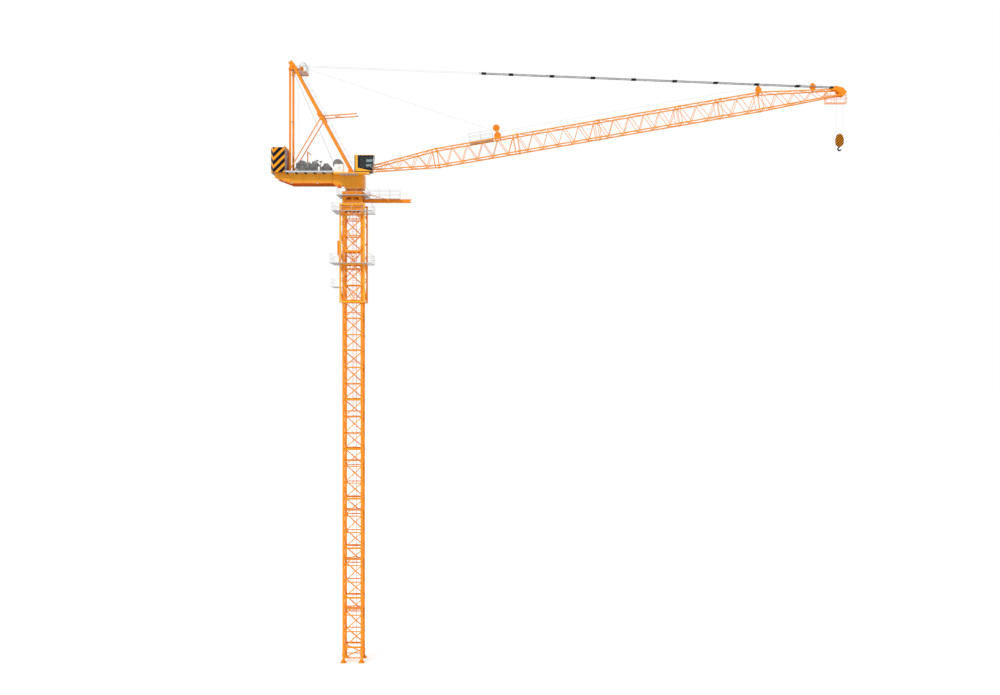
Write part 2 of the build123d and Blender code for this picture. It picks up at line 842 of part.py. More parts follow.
def a_frame_bracing(bar):
    """Braces from the ties' feet to the struts, with cross links, and the back-stop arms towards the jib."""
    start = (tie_x + tie_width / 2, deck_top + brace)
    bars = beam(at(start, -strut_y), at(on_strut(deck_top + knee_rise), -strut_y), brace, brace) - bar
    bars = bars & block(start[0], 0, 2 * strut_near, 0, deck_top, head_floor)
    near = max(bars.solids(), key=lambda s: s.volume)
    links = []
    for rise in cross_link_rises:
        z = deck_top + rise
        reach = tie_y - tie_plate / 2
        links += [block(tie_x - cross_link / 2, tie_x + cross_link / 2, -reach, reach, z, z + cross_link)]
    write("a_frame_braces", both_sides([near]) + links)

    z = deck_top + backstop_rise
    y = strut_far - backstop / 2 - backstop_gap
    end = (backstop_x, z + backstop_climb)
    arm = beam(at(on_strut(z), y), at(end, y), backstop, backstop) - bar
    arm = max(arm.solids(), key=lambda s: s.center().X)
    middle = along(on_strut(z), end, backstop_link * hypot(end[0] - on_strut(z)[0], backstop_climb))
    reach = abs(y) - backstop / 4
    size = cross_link / 2
    link = block(middle[0] - size, middle[0] + size, -reach, reach, middle[1] - size, middle[1] + size)
    write("backstop_arms", [arm + link + mirror(arm, about=Plane.XZ)])


def head_platform(bar):
    """A small floor with railings in front of the strut heads, on an arm from each strut."""
    level = head_floor - head_platform_drop
    low = level - floor_plate
    floor = block(head_platform_rear, head_platform_front, -strut_y, strut_y, low, level)
    arm = block(head_platform_rear - strut, head_platform_rear, -strut_y, -strut_y + brace, low, level)
    floor += arm + mirror(arm, about=Plane.XZ)
    floor = floor - bar - mirror(bar, about=Plane.XZ)
    floor = max(floor.solids(), key=lambda s: s.volume)
    edge = rail_bar / 2
    ends = (head_platform_rear + strut, head_platform_front)
    rails = [railing(front_plane(y), *ends, level) for y in (edge - strut_y, strut_y - edge)]
    reach = strut_y - rail_bar - seam
    gate = pendant_y + lead_sheave_radius
    sides = ((-reach, -gate), (gate, reach))
    rails += [railing(Plane.YZ.offset(head_platform_front - edge), *side, level) for side in sides]
    write("head_platform", [floor] + rails)


# Cab


def cab_outline(rear, sill, front, header):
    """The cab's side outline, moved in by the width of its pillars, sill and header."""
    low, high = cab_floor + sill, cab_roof - header
    nose = cab_front - front
    return [(cab_rear + rear, low), (nose - cab_lean, low), (nose, high), (cab_rear + rear, high)]


def cab():
    under_roof = cab_wall + seam
    side = cab_outline(0, 0, 0, under_roof)
    hole = cab_outline(cab_pillar, cab_sill, cab_front_pillar, cab_header)
    near = plate(side, cab_near, cab_near + cab_wall) - plate(hole, cab_near - 1, cab_near + cab_wall + 1)
    far = plate(side, cab_far - cab_wall, cab_far) - plate(hole, cab_far - cab_wall - 1, cab_far + 1)
    y0, y1 = cab_near + cab_wall + seam, cab_far - cab_wall - seam
    nose = cab_front - cab_lean
    start, end = cab_rear + cab_wall + seam, nose - cab_front_pillar
    floor = block(start, end, y0, y1, cab_floor, cab_floor + cab_wall)
    roof = block(cab_rear, cab_front + cab_front_pillar, cab_near, cab_far, cab_roof - cab_wall, cab_roof)
    rear = block(cab_rear, cab_rear + cab_wall, y0, y1, cab_floor, cab_roof - under_roof)
    write("cab_walls", [near, far, floor, roof, rear])

    fit = glass_fit
    pane = cab_outline(cab_pillar + fit, cab_sill + fit, cab_front_pillar + fit, cab_header + fit)
    inset = glass_inset
    panes = [plate(pane, y, y + glass) for y in (cab_near + inset, cab_far - inset - glass)]
    low, high = cab_floor, cab_roof - under_roof
    foot, head = nose - inset, cab_front - inset
    panes += [plate([(foot - glass, low), (foot, low), (head, high), (head - glass, high)], y0, y1)]
    write("cab_glass", panes)
    low = cab_floor - cab_walk_depth
    write("cab_platform", [block(cab_walk_rear, cab_walk_front, cab_near, -girder_outer, low, cab_floor)])


# Jib

jib_place = Pos(pivot[0], 0, pivot[1]) * Rot(0, -jib_angle, 0)


def from_jib(point):
    """A point given along the jib and above its axis, in X and Z."""
    c, s = cos(radians(jib_angle)), sin(radians(jib_angle))
    return (pivot[0] + point[0] * c - point[1] * s, pivot[1] + point[0] * s + point[1] * c)


guide_point = from_jib(guide)
jib_sheave = from_jib(head_sheave)
jib_pendant_pin = from_jib(pendant_pin)


def zigzag(start, end, low, high, count):
    """Diagonals between two lines given as height functions of the distance."""
    step = (end - start) / count
    bars = []
    for i in range(count):
        a, b = start + i * step, start + (i + 1) * step
        first, second = (high, low) if i % 2 == 0 else (low, high)
        bars += [strip((a, first(a)), (b, second(b)), lacing)]
    return bars


def jib_side(plane, start, end, low, high):
    """One flat side of a section: two chords, end posts and a zigzag."""
    limit = Pos((start + end) / 2, 0) * Rectangle(end - start, 4 * jib_half_height)
    reach = 3 * chord
    chords = []
    for line in (low, high):
        slope = (line(end) - line(start)) / (end - start)
        first = (start - reach, line(start) - slope * reach)
        chords += [strip(first, (end + reach, line(end) + slope * reach), chord)]
    braces = zigzag(start + post_inset, end - post_inset, low, high, 2 * round((end - start) / panel / 2))
    for s in (start + post_inset, end - post_inset):
        braces += [strip((s, low(s)), (s, high(s)), lacing)]
    return flat(plane, chords, chord, limit) + flat(plane, braces, lacing, limit)


def jib_lace(start, end, height, width):
    """The lacing between two chords, in their own plane."""
    h0, h1 = height(start), height(end)
    length = hypot(end - start, h1 - h0)
    c, s = (end - start) / length, (h1 - h0) / length
    plane = Plane((start, 0, h0), x_dir=(c, 0, s), z_dir=(-s, 0, c))
    clear = chord / 2 + 2 * seam
    w0, w1 = width(start) - clear, width(end) - clear
    limit = Polygon((0, -w0), (length, -w1), (length, w1), (0, w0), align=None)
    bars = [strip((u, -w0), (u, w0), lacing) for u in (post_inset, length - post_inset)]
    count = round(length / panel / 2)
    step = (length - 2 * post_inset) / count
    for i in range(count):
        a, b = post_inset + i * step, post_inset + (i + 1) * step
        sign = 1 if i % 2 == 0 else -1
        wa, wb = w0 + (w1 - w0) * a / length, w0 + (w1 - w0) * b / length
        bars += [strip((a, -sign * wa), (b, sign * wb), lacing)]
    return flat(plane, bars, lacing, limit)


def rope_sheave(centre):
    """A sheave of the hoist rope, whose falls hang on either side of its pin."""
    outside = wheel(centre, fall - hoist_rope - seam, -sheave_half, sheave_half)
    return outside - bore(centre, sheave_pin, -sheave_half, sheave_half)


def jib_foot():
    """The first section, tapered to its pivot lugs, and the brackets that carry it."""
    end = jib_ends[1] - seam
    rise = (jib_half_height - foot_half) / jib_ends[1]
    plane = front_plane(-jib_half_width)
    side = jib_side(plane, 0, end, lambda s: -foot_half - rise * s, lambda s: foot_half + rise * s)
    y0, y1 = -jib_half_width - chord / 2, -jib_half_width + chord / 2
    side = side + wheel((0, 0), lug_radius, y0, y1) - pin((0, 0), pin_radius + run_fit, y0 - 1, y1 + 1)
    solids = [side, mirror(side, about=Plane.XZ)]
    clear = 12 * lug_radius
    for sign in (-1, 1):
        height = lambda s, g=sign: g * (foot_half + rise * s)
        solids += [jib_lace(clear, end, height, lambda s: jib_half_width)]
    write("jib_foot_section", [jib_place * s for s in solids])

    x, z = pivot
    head = bracket_head
    outline = [(x - head, deck_top), (x + 2 * head, deck_top), (x + head, z + head), (x - head, z + head)]
    reach = chord / 2 + bracket_gap + bracket_plate
    near, far = -jib_half_width - reach, -jib_half_width + reach
    bracket = plate(outline, near, near + bracket_plate) + plate(outline, far - bracket_plate, far)
    write("jib_pivot_brackets", both_sides([bracket + pin(pivot, pin_radius, near, far)]))


def jib_middle():
    solids = []
    for start, end in zip(jib_ends[1:6], jib_ends[2:7]):
        stop = end - seam
        plane = front_plane(-jib_half_width)
        side = jib_side(plane, start, stop, lambda s: -jib_half_height, lambda s: jib_half_height)
        solids += [side, mirror(side, about=Plane.XZ)]
        for h in (-jib_half_height, jib_half_height):
            solids += [jib_lace(start, stop, lambda s, h=h: h, lambda s: jib_half_width)]
    write("jib_middle_sections", [jib_place * s for s in solids])


tip_start, tip_end = jib_ends[6], jib_ends[7]
tip_slope = (jib_half_height - tip_upper) / (tip_end - tip_start)
tip_taper = (jib_half_width - tip_half_width) / (tip_end - tip_start)


def tip_width(s):
    return jib_half_width - tip_taper * (s - tip_start)


def jib_tip():
    """The last section, which narrows and drops to the head plates with their pins and sheave."""
    length = hypot(tip_end - tip_start, jib_half_width - tip_half_width)
    run = ((tip_end - tip_start) / length, (jib_half_width - tip_half_width) / length)
    plane = Plane((tip_start, -jib_half_width, 0), x_dir=(run[0], run[1], 0), z_dir=(run[1], -run[0], 0))
    drop = (jib_half_height - tip_upper) / length
    start, end = -chord / 2, length + chord / 2
    side = jib_side(plane, start, end, lambda s: -jib_half_height, lambda s: jib_half_height - drop * s)
    size = 2 * jib_half_height
    side = side & block(tip_start, tip_end, -size, size, -size, size)
    solids = [side, mirror(side, about=Plane.XZ)]
    solids += [jib_lace(tip_start, tip_end, lambda s: -jib_half_height, tip_width)]
    upper = lambda s: jib_half_height - tip_slope * (s - tip_start)
    solids += [jib_lace(tip_start, tip_end, upper, tip_width)]
    write("jib_tip_section", [jib_place * s for s in solids])

    s, h = head_sheave
    outline = [
        (tip_end, -jib_half_height - chord / 2),
        (s, h - jib_head_radius),
        (s, h + jib_head_radius),
        (pendant_pin[0], pendant_pin[1] + jib_head_crest),
        (tip_end, tip_upper + chord),
    ]
    y0, y1 = -tip_half_width - jib_head_plate / 2, -tip_half_width + jib_head_plate / 2
    side = plate(outline, y0, y1) + wheel(head_sheave, jib_head_radius, y0, y1)
    side += pin(pendant_pin, pendant_pin_radius, -tip_half_width, -pendant_y + bar_size)
    head = side + mirror(side, about=Plane.XZ) + pin(head_sheave, sheave_pin, -tip_half_width, tip_half_width)
    write("jib_head", [jib_place * head])
    write("jib_head_sheave", [rope_sheave(jib_sheave)])


# Guide pulleys, walkway and basket of the jib


def first_pulleys():
    """Two stacked pulleys on a post, with the hoist rope between them."""
    top = jib_half_height + chord / 2
    s, h = guide
    reach = jib_half_width + chord / 2
    size = guide_post
    end = pulley_cheek_y + pulley_cheek
    post = block(s - size, s + size, -reach, reach, top, top + size)
    for y in (-end, pulley_cheek_y):
        post += block(s - size, s + size, y, y + pulley_cheek, top, h + guide_post_rise * guide_radius)
    apart = guide_radius + hoist_rope + seam
    for z in (h - apart, h + apart):
        post += wheel((s, z), guide_radius, -pulley_half, pulley_half, 90)
        post += wheel((s, z), pulley_axle, -end, end, sides=8)
    return post


def jib_rope_runs():
    """Start, end and side angle of each run of the hoist rope along the jib."""
    grip = small_radius + hoist_rope + seam
    stations = [(guide, 0)] + [(place, grip) for place in small_pulleys] + [(head_sheave, fall)]
    return [tangent(*first, *second) for first, second in zip(stations, stations[1:])]


def small_pulley(place, facing):
    """A pulley between diamond cheeks on a foot across the upper chords."""
    s, h = place
    size = pulley_foot
    past = max(0, s - tip_start)
    base = jib_half_height - tip_slope * past
    lean = degrees(atan2(tip_slope, 1)) if past else 0
    reach = tip_width(tip_start + past) + pulley_cheek
    foot = block(-size, size, -reach, reach, chord / 2 + seam, chord / 2 + size)
    solid = Pos(s, 0, base) * Rot(0, lean, 0) * foot
    low = base + chord / 2 + pulley_cheek
    wide = 1.5 * size
    cheek = [(s - size, low), (s + size, low), (s + wide, h), (s, h + pulley_brow), (s - wide, h)]
    end = pulley_cheek_y + pulley_cheek
    for y in (-end, pulley_cheek_y):
        solid += plate(cheek, y, y + pulley_cheek)
    solid += wheel(place, small_radius, -pulley_half, pulley_half, facing)
    return solid + wheel(place, pulley_axle, -end, end, sides=8)


def jib_fittings():
    runs = jib_rope_runs()
    pulleys = [first_pulleys()]
    pulleys += [small_pulley(place, facing) for place, (_, _, facing) in zip(small_pulleys, runs[1:])]
    write("guide_pulleys", [jib_place * p for p in pulleys])

    top = jib_half_height + chord / 2
    walk = block(jib_walk_start, jib_walk_end, -jib_walk_half, jib_walk_half, top, top + floor_plate)
    write("jib_walkway", [jib_place * walk])
    rail = railing(front_plane(-jib_half_width), jib_walk_start, jib_walk_end, 0)
    rails = both_sides([rail])
    write("jib_walkway_rails", [jib_place * Pos(0, 0, top) * r for r in rails])

    level = jib_sheave[1] - basket_drop
    near = [block(basket_start, basket_end, -basket_outer, -basket_inner, level - floor_plate, level)]
    near += [railing(front_plane(-basket_outer + rail_bar / 2), basket_start, basket_end, level)]
    low = -jib_half_height - chord / 2
    under = jib_place * block(tip_start, 2 * tip_end, -2 * basket_outer, 0, 3 * low, low)
    y = -tip_half_width - hanger / 2
    for distance in basket_hangers:
        x = basket_start + distance
        bar = block(x - hanger / 2, x + hanger / 2, y, y + hanger, level + seam, jib_sheave[1] + fall)
        near += [bar & under]
    write("jib_basket", both_sides(near))


# Pendants and ropes


def pendants():
    """Bars between link plates from the jib's head towards the A-frame, one chain on each side."""
    touch, end, _ = tangent(luff_sheave, luff_sheave_radius, jib_pendant_pin, 0)
    bars, links = [], []
    count = int((pendant_length - pendant_tail - pendant_first) / pendant_bar)
    starts = [pendant_first + pendant_bar * i for i in range(count + 1)]
    starts += [pendant_length - pendant_tail / 2]
    eye = bore(end, pendant_pin_radius, -2 * pendant_y, 2 * pendant_y)

    def place(distance):
        return at(along(end, touch, distance), -pendant_y)

    links += [beam(place(-link_overhang), place(pendant_link), 2 * bar_size, bar_size) - eye]
    last = pendant_link
    for start in starts:
        bars += [beam(place(last), place(start), bar_size, bar_size)]
        last = start + pendant_link
        links += [beam(place(start), place(last), 2 * bar_size, bar_size)]
    bars += [beam(place(last), place(pendant_length), tail_size, tail_size)]
    write("pendant_bars", both_sides(bars))
    write("pendant_links", both_sides(links))

    stop = along(end, touch, pendant_length + seam)
    write("luffing_ropes", both_sides([rope(touch, stop, luff_rope, -pendant_y)]))


def hoist_ropes():
    """The hoist rope's runs: up to the A-frame, out to the jib, along the jib, and down to the hook block."""
    touch, stop, _ = tangent(lead_sheave, lead_sheave_radius, guide_point, 0)
    stop = along(stop, touch, guide_radius + sheave_gap)
    write("hoist_lead_rope", [rope(touch, stop, hoist_rope)])

    low, high, _ = tangent(hoist_drum, hoist_drum_radius + hoist_rope + seam, lead_sheave, lead_sheave_radius)
    runs = [rope(low, high, hoist_rope)]
    low, high, _ = tangent(luff_drum, luff_drum_radius + luff_rope + seam, luff_sheave, luff_sheave_radius)
    runs += both_sides([rope(low, high, luff_rope, -pendant_y)])
    write("deck_ropes", runs)

    runs = [jib_place * rope(start, end, hoist_rope) for start, end, _ in jib_rope_runs()]
    write("jib_hoist_rope", runs)

    x, z = jib_sheave
    falls = [rope((side, z), (side, z - hook_drop), hoist_rope) for side in (x - fall, x + fall)]
    write("hoist_rope", falls)


# Hook block and hook


def hook_block():
    x, z = jib_sheave[0], jib_sheave[1] - hook_drop
    turns = [2 * pi * i / 24 for i in range(24)]
    oval = [(x + block_half_width * cos(t), z - block_centre + block_half_height * sin(t)) for t in turns]
    cheek = plate(oval, -cheek_y, -cheek_y + cheek_plate)
    body = cheek + mirror(cheek, about=Plane.XZ) + wheel((x, z), sheave_pin, -cheek_y, cheek_y)
    inside = cheek_y - cheek_plate
    low = z - hook_shank
    body += block(x - crosshead_half, x + crosshead_half, -inside, inside, low, low + crosshead_height)
    way = RegularPolygon(sheave_pin + run_fit, 12, major_radius=False)
    body -= extrude(Pos(x, 0, low) * way, amount=crosshead_height, both=True)
    write("hook_block", [body])
    write("hook_block_sheave", [rope_sheave((x, z))])

    eye = (x, z - hook_eye)
    y0, y1 = -hook_thick / 2, hook_thick / 2
    hook = wheel(eye, hook_outer, y0, y1) - wheel(eye, hook_inner, y0 - 1, y1 + 1)
    lip = hook_neck_front
    hook -= block(x + lip, x + 2 * hook_outer, y0 - 1, y1 + 1, eye[1] - lip, eye[1] + 2 * hook_outer)
    shank_foot = low - hook_shank_length / 2
    hook += block(x - hook_neck, x + lip, y0, y1, eye[1] + (hook_inner + hook_outer) / 2, shank_foot)
    shank = Pos(x, 0, low) * Cylinder(sheave_pin, hook_shank_length)
    write("hook", [hook + shank])


mast()
climbing_frame()
tower_platforms()
introduction_beam()
slewing()
turret()
deck()
counterweights()
machinery()
near_strut = strut_bar()
a_frame_legs(near_strut)
a_frame_head()
a_frame_bracing(near_strut)
head_platform(near_strut)
cab()
jib_foot()
jib_middle()
jib_tip()
jib_fittings()
pendants()
hoist_ropes()
hook_block()

os.makedirs("parts", exist_ok=True)
for name, solids in parts.items():
    export_step(Compound(children=[Solid(s.wrapped) for s in solids]), f"parts/{name}.step")
    print(name, len(solids))
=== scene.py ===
import json
import math

import bpy
from mathutils import Matrix, Vector


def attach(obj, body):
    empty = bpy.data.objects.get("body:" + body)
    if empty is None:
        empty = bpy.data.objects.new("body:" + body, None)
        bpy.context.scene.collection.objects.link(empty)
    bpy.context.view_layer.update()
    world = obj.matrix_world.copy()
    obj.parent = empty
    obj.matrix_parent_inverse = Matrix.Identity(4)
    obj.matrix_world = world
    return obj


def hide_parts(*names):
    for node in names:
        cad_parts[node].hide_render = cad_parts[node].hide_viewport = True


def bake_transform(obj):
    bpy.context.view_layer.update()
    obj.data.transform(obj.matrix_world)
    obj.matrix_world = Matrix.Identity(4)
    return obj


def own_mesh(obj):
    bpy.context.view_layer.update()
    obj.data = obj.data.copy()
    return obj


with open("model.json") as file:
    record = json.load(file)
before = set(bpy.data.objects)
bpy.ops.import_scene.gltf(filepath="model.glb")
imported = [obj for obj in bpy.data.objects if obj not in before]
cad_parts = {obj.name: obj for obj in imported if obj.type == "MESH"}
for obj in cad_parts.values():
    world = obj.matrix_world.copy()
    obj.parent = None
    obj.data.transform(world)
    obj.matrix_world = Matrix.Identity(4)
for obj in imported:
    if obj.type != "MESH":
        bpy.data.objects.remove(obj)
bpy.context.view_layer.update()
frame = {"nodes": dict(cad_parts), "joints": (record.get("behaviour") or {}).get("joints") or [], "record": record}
upright = (0, 0, 1)
bothSides = (-1, 1)
smoothAngle = 34
paneBevel, panelBevel, sheetBevel, plateBevel, slatBevel, beamBevel = 0.001, 0.002, 0.003, 0.004, 0.005, 0.006
print("frame loaded")


# Helpers for selecting, placing and finishing pieces

def newPiece(name, data):
    piece = bpy.data.objects.new(name, data)
    bpy.context.collection.objects.link(piece)
    return piece


def activate(piece):
    bpy.ops.object.select_all(action="DESELECT")
    piece.select_set(True)
    bpy.context.view_layer.objects.active = piece


def settle(piece):  # its place and turn go into the mesh
    activate(piece)
    bpy.ops.object.transform_apply(location=True, rotation=True, scale=True)
    return piece


def smooth(piece):
    settle(piece)
    bpy.ops.object.shade_smooth_by_angle(angle=math.radians(smoothAngle))
    return piece


def inEditMode(piece, work):
    activate(piece)
    bpy.ops.object.mode_set(mode="EDIT")
    bpy.ops.mesh.select_all(action="SELECT")
    work()
    bpy.ops.object.mode_set(mode="OBJECT")
    return piece


def bevelEdges(piece, width, segments=1):
    return inEditMode(piece, lambda: bpy.ops.mesh.bevel(offset=width, segments=segments, affect="EDGES"))


def outwards(piece):
    def work():
        bpy.ops.mesh.remove_doubles(threshold=0.00005)
        bpy.ops.mesh.normals_make_consistent(inside=False)
    return inEditMode(piece, work)


def joinPieces(name, pieces):
    activate(pieces[0])
    for piece in pieces:
        piece.select_set(True)
    if len(pieces) > 1:
        bpy.ops.object.join()
    joined = bpy.context.view_layer.objects.active
    joined.name = name
    joined.data.name = name
    return joined


def paint(piece, material):
    piece.data.materials.clear()
    piece.data.materials.append(material)
    return piece


def copyPiece(piece, move=(0, 0, 0), turn=None):  # each copy has its own mesh
    twin = newPiece(piece.name, piece.data.copy())
    if turn is not None:
        twin.data.transform(turn)
    twin.data.transform(Matrix.Translation(move))
    return twin


def mirrored(piece):  # the same piece on the far side
    twin = copyPiece(piece, turn=Matrix.Diagonal((1, -1, 1, 1)))
    twin.data.flip_normals()
    return twin


def finishPiece(piece, body, replaced=()):
    smooth(piece)
    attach(piece, body)
    if replaced:
        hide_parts(*replaced)
    return piece


def finishJoined(name, pieces, material, body, replaced=(), turn=None):  # one piece in one finish
    piece = paint(joinPieces(name, pieces), material)
    if turn is not None:
        piece.data.transform(turn)
    return finishPiece(piece, body, replaced)


def addBox(low, high, bevel=0.0):
    middle = [(a + b) / 2 for a, b in zip(low, high)]
    size = [b - a for a, b in zip(low, high)]
    bpy.ops.mesh.primitive_cube_add(size=1, location=middle, scale=size)
    piece = settle(bpy.context.object)
    return bevelEdges(piece, bevel) if bevel else piece


def addBeam(x, half, z, bevel=0.0):  # a box across the crane, as far to the near side as to the far side
    return addBox((x[0], -half, z[0]), (x[1], half, z[1]), bevel)


def addSheet(points, y0, y1, bevel=0.0):  # a plate cut to an outline in X and Z
    mesh = bpy.data.meshes.new("plate")
    mesh.from_pydata([(x, y0, z) for x, z in points], [], [list(range(len(points)))])
    piece = newPiece("plate", mesh)

    def work():
        bpy.ops.mesh.extrude_region_move(TRANSFORM_OT_translate={"value": (0, y1 - y0, 0)})
        bpy.ops.mesh.select_all(action="SELECT")
        bpy.ops.mesh.normals_make_consistent(inside=False)
        if bevel:
            bpy.ops.mesh.bevel(offset=bevel, segments=1, affect="EDGES")
    return inEditMode(piece, work)


def addTubes(name, runs, radius, sides=8, swell=None):  # round bars along runs of points, as one mesh
    curve = bpy.data.curves.new(name, "CURVE")
    curve.dimensions = "3D"
    curve.bevel_depth = radius
    curve.bevel_resolution = max(0, (sides - 4) // 2)
    curve.use_fill_caps = True
    for run in runs:
        spline = curve.splines.new("POLY")
        spline.points.add(len(run) - 1)
        for point, place, share in zip(spline.points, run, swell or [1.0] * len(run)):
            point.co = (*place, 1)
            point.radius = share
    activate(newPiece(name, curve))
    bpy.ops.object.convert(target="MESH")
    return outwards(bpy.context.object)


def addTurned(profile, centre, axis=(0, 1, 0), steps=32):  # spins a profile of radii and distances
    along = Vector(axis).normalized()
    out = Vector((1, 0, 0)) if abs(along.x) < 0.5 else Vector((0, 0, 1))
    mesh = bpy.data.meshes.new("turned")
    places = [Vector(centre) + out * radius + along * distance for radius, distance in profile]
    mesh.from_pydata(places, [(i, i + 1) for i in range(len(places) - 1)], [])
    piece = newPiece("turned", mesh)
    inEditMode(piece, lambda: bpy.ops.mesh.spin(steps=steps, angle=2 * math.pi, center=centre, axis=along))
    return outwards(piece)


def bothFaces(edge):  # a turned profile from one face to the other, the same on both
    return edge + [(radius, -distance) for radius, distance in reversed(edge)]


def jointPlace(name):
    return Vector([j for j in frame["joints"] if j["name"] == name][0]["pos_m"])


# Colours and shader nodes

def hexColor(text):  # sRGB hex to linear
    channels = [int(text[i:i + 2], 16) / 255 for i in (1, 3, 5)]
    return [c / 12.92 if c <= 0.04045 else ((c + 0.055) / 1.055) ** 2.4 for c in channels] + [1.0]


def addNode(tree, kind, inputs, ramp=(), **settings):  # an input is linked to a socket or set to a value
    node = tree.nodes.new(kind)
    for key, value in settings.items():
        setattr(node, key, value)
    for key, value in inputs.items():
        if isinstance(value, bpy.types.NodeSocket):
            tree.links.new(value, node.inputs[key])
        else:
            node.inputs[key].default_value = value
    for i, (place, color) in enumerate(ramp):
        node.color_ramp.elements[i].position = place
        node.color_ramp.elements[i].color = hexColor(color)
    return node


bandShare = 0.314  # at scale 1 the bands of a wave texture are this far apart


def perMillimetre(size):  # pattern scale, in repeats per metre, from a size in millimetres
    return 1000.0 / size


def mottle(tree, place, first, second, size, detail=3.0):  # two close colours in soft patches
    inputs = {"Scale": perMillimetre(size), "Detail": detail, "Vector": place}
    noise = addNode(tree, "ShaderNodeTexNoise", inputs)
    ramp = ((0.35, first), (0.65, second))
    return addNode(tree, "ShaderNodeValToRGB", {"Fac": noise.outputs["Fac"]}, ramp).outputs["Color"]


def grain(tree, shader, place, size, strength, distance):  # a fine unevenness
    inputs = {"Scale": perMillimetre(size), "Detail": 2.0, "Vector": place}
    noise = addNode(tree, "ShaderNodeTexNoise", inputs)
    inputs = {"Strength": strength, "Distance": distance, "Height": noise.outputs["Fac"]}
    bump = addNode(tree, "ShaderNodeBump", inputs)
    tree.links.new(bump.outputs["Normal"], shader.inputs["Normal"])


def newMaterial(name, roughness, metallic=0.0):
    material = bpy.data.materials.new(name)
    material.use_nodes = True
    tree = material.node_tree
    shader = tree.nodes["Principled BSDF"]
    shader.inputs["Roughness"].default_value = roughness
    shader.inputs["Metallic"].default_value = metallic
    return material, tree, shader, tree.nodes.new("ShaderNodeTexCoord")


def patchyMaterial(name, roughness, first, second, size, detail=3.0, metallic=0.0):
    material, tree, shader, coords = newMaterial(name, roughness, metallic)
    place = coords.outputs["Object"]
    tree.links.new(mottle(tree, place, first, second, size, detail), shader.inputs["Base Color"])
    return material, tree, shader, place


# Materials

def enamel(name, first, second, roughness=0.5, shine=0.3):
    # alkyd enamel sprayed on steel: an even satin colour with faint patches and orange peel
    material, tree, shader, place = patchyMaterial(name, roughness, first, second, 700)
    shader.inputs["Specular IOR Level"].default_value = shine
    grain(tree, shader, place, 14, 0.08, 0.002)
    return material


def galvanised():
    # hot-dip zinc on tube: pale grey with a spangle of flat crystals
    material, tree, shader, coords = newMaterial("galvanised steel", 0.42, 0.35)
    inputs = {"Scale": perMillimetre(45), "Vector": coords.outputs["Object"]}
    spangle = addNode(tree, "ShaderNodeTexVoronoi", inputs)
    ramp = ((0.0, "#A6A9AC"), (1.0, "#C8CBCC"))
    color = addNode(tree, "ShaderNodeValToRGB", {"Fac": spangle.outputs["Color"]}, ramp)
    tree.links.new(color.outputs["Color"], shader.inputs["Base Color"])
    return material


def grating():
    # pressed steel grating, zinc coated: bearing bars with dark slots, drawn 60 mm apart so that they show
    material, tree, shader, coords = newMaterial("galvanised grating", 0.5, 0.2)
    place = coords.outputs["Object"]
    bars = {}
    for i, (direction, size) in enumerate((("X", 60), ("Y", 120))):
        inputs = {"Scale": perMillimetre(size) * bandShare, "Vector": place}
        bars[i] = addNode(tree, "ShaderNodeTexWave", inputs, bands_direction=direction).outputs["Fac"]
    top = addNode(tree, "ShaderNodeMath", bars, operation="MAXIMUM")
    ramp = ((0.55, "#6E7377"), (0.7, "#C9CCCE"))
    face = addNode(tree, "ShaderNodeValToRGB", {"Fac": top.outputs["Value"]}, ramp).outputs["Color"]
    edge = mottle(tree, place, "#B4B7BA", "#CDD0D2", 90)
    normal = addNode(tree, "ShaderNodeSeparateXYZ", {"Vector": coords.outputs["Normal"]})
    level = addNode(tree, "ShaderNodeMath", {0: normal.outputs["Z"]}, operation="ABSOLUTE")
    inputs = {"Factor": level.outputs["Value"], 6: edge, 7: face}
    mix = addNode(tree, "ShaderNodeMix", inputs, data_type="RGBA")
    tree.links.new(mix.outputs[2], shader.inputs["Base Color"])
    bump = addNode(tree, "ShaderNodeBump", {"Strength": 0.5, "Distance": 0.01, "Height": face})
    tree.links.new(bump.outputs["Normal"], shader.inputs["Normal"])
    return material


def machinePaint():
    # hammered grey enamel on castings, dulled by oil and dust
    material, tree, shader, place = patchyMaterial("grey machine enamel", 0.5, "#6A6866", "#928F8C", 160, 6.0)
    grain(tree, shader, place, 30, 0.25, 0.004)
    return material


def powderCoat():
    # baked polyester powder on sheet steel: clean white with a very fine texture
    material, tree, shader, place = patchyMaterial("white powder coat", 0.45, "#F1F2F2", "#FAFAFA", 500)
    grain(tree, shader, place, 8, 0.1, 0.001)
    return material


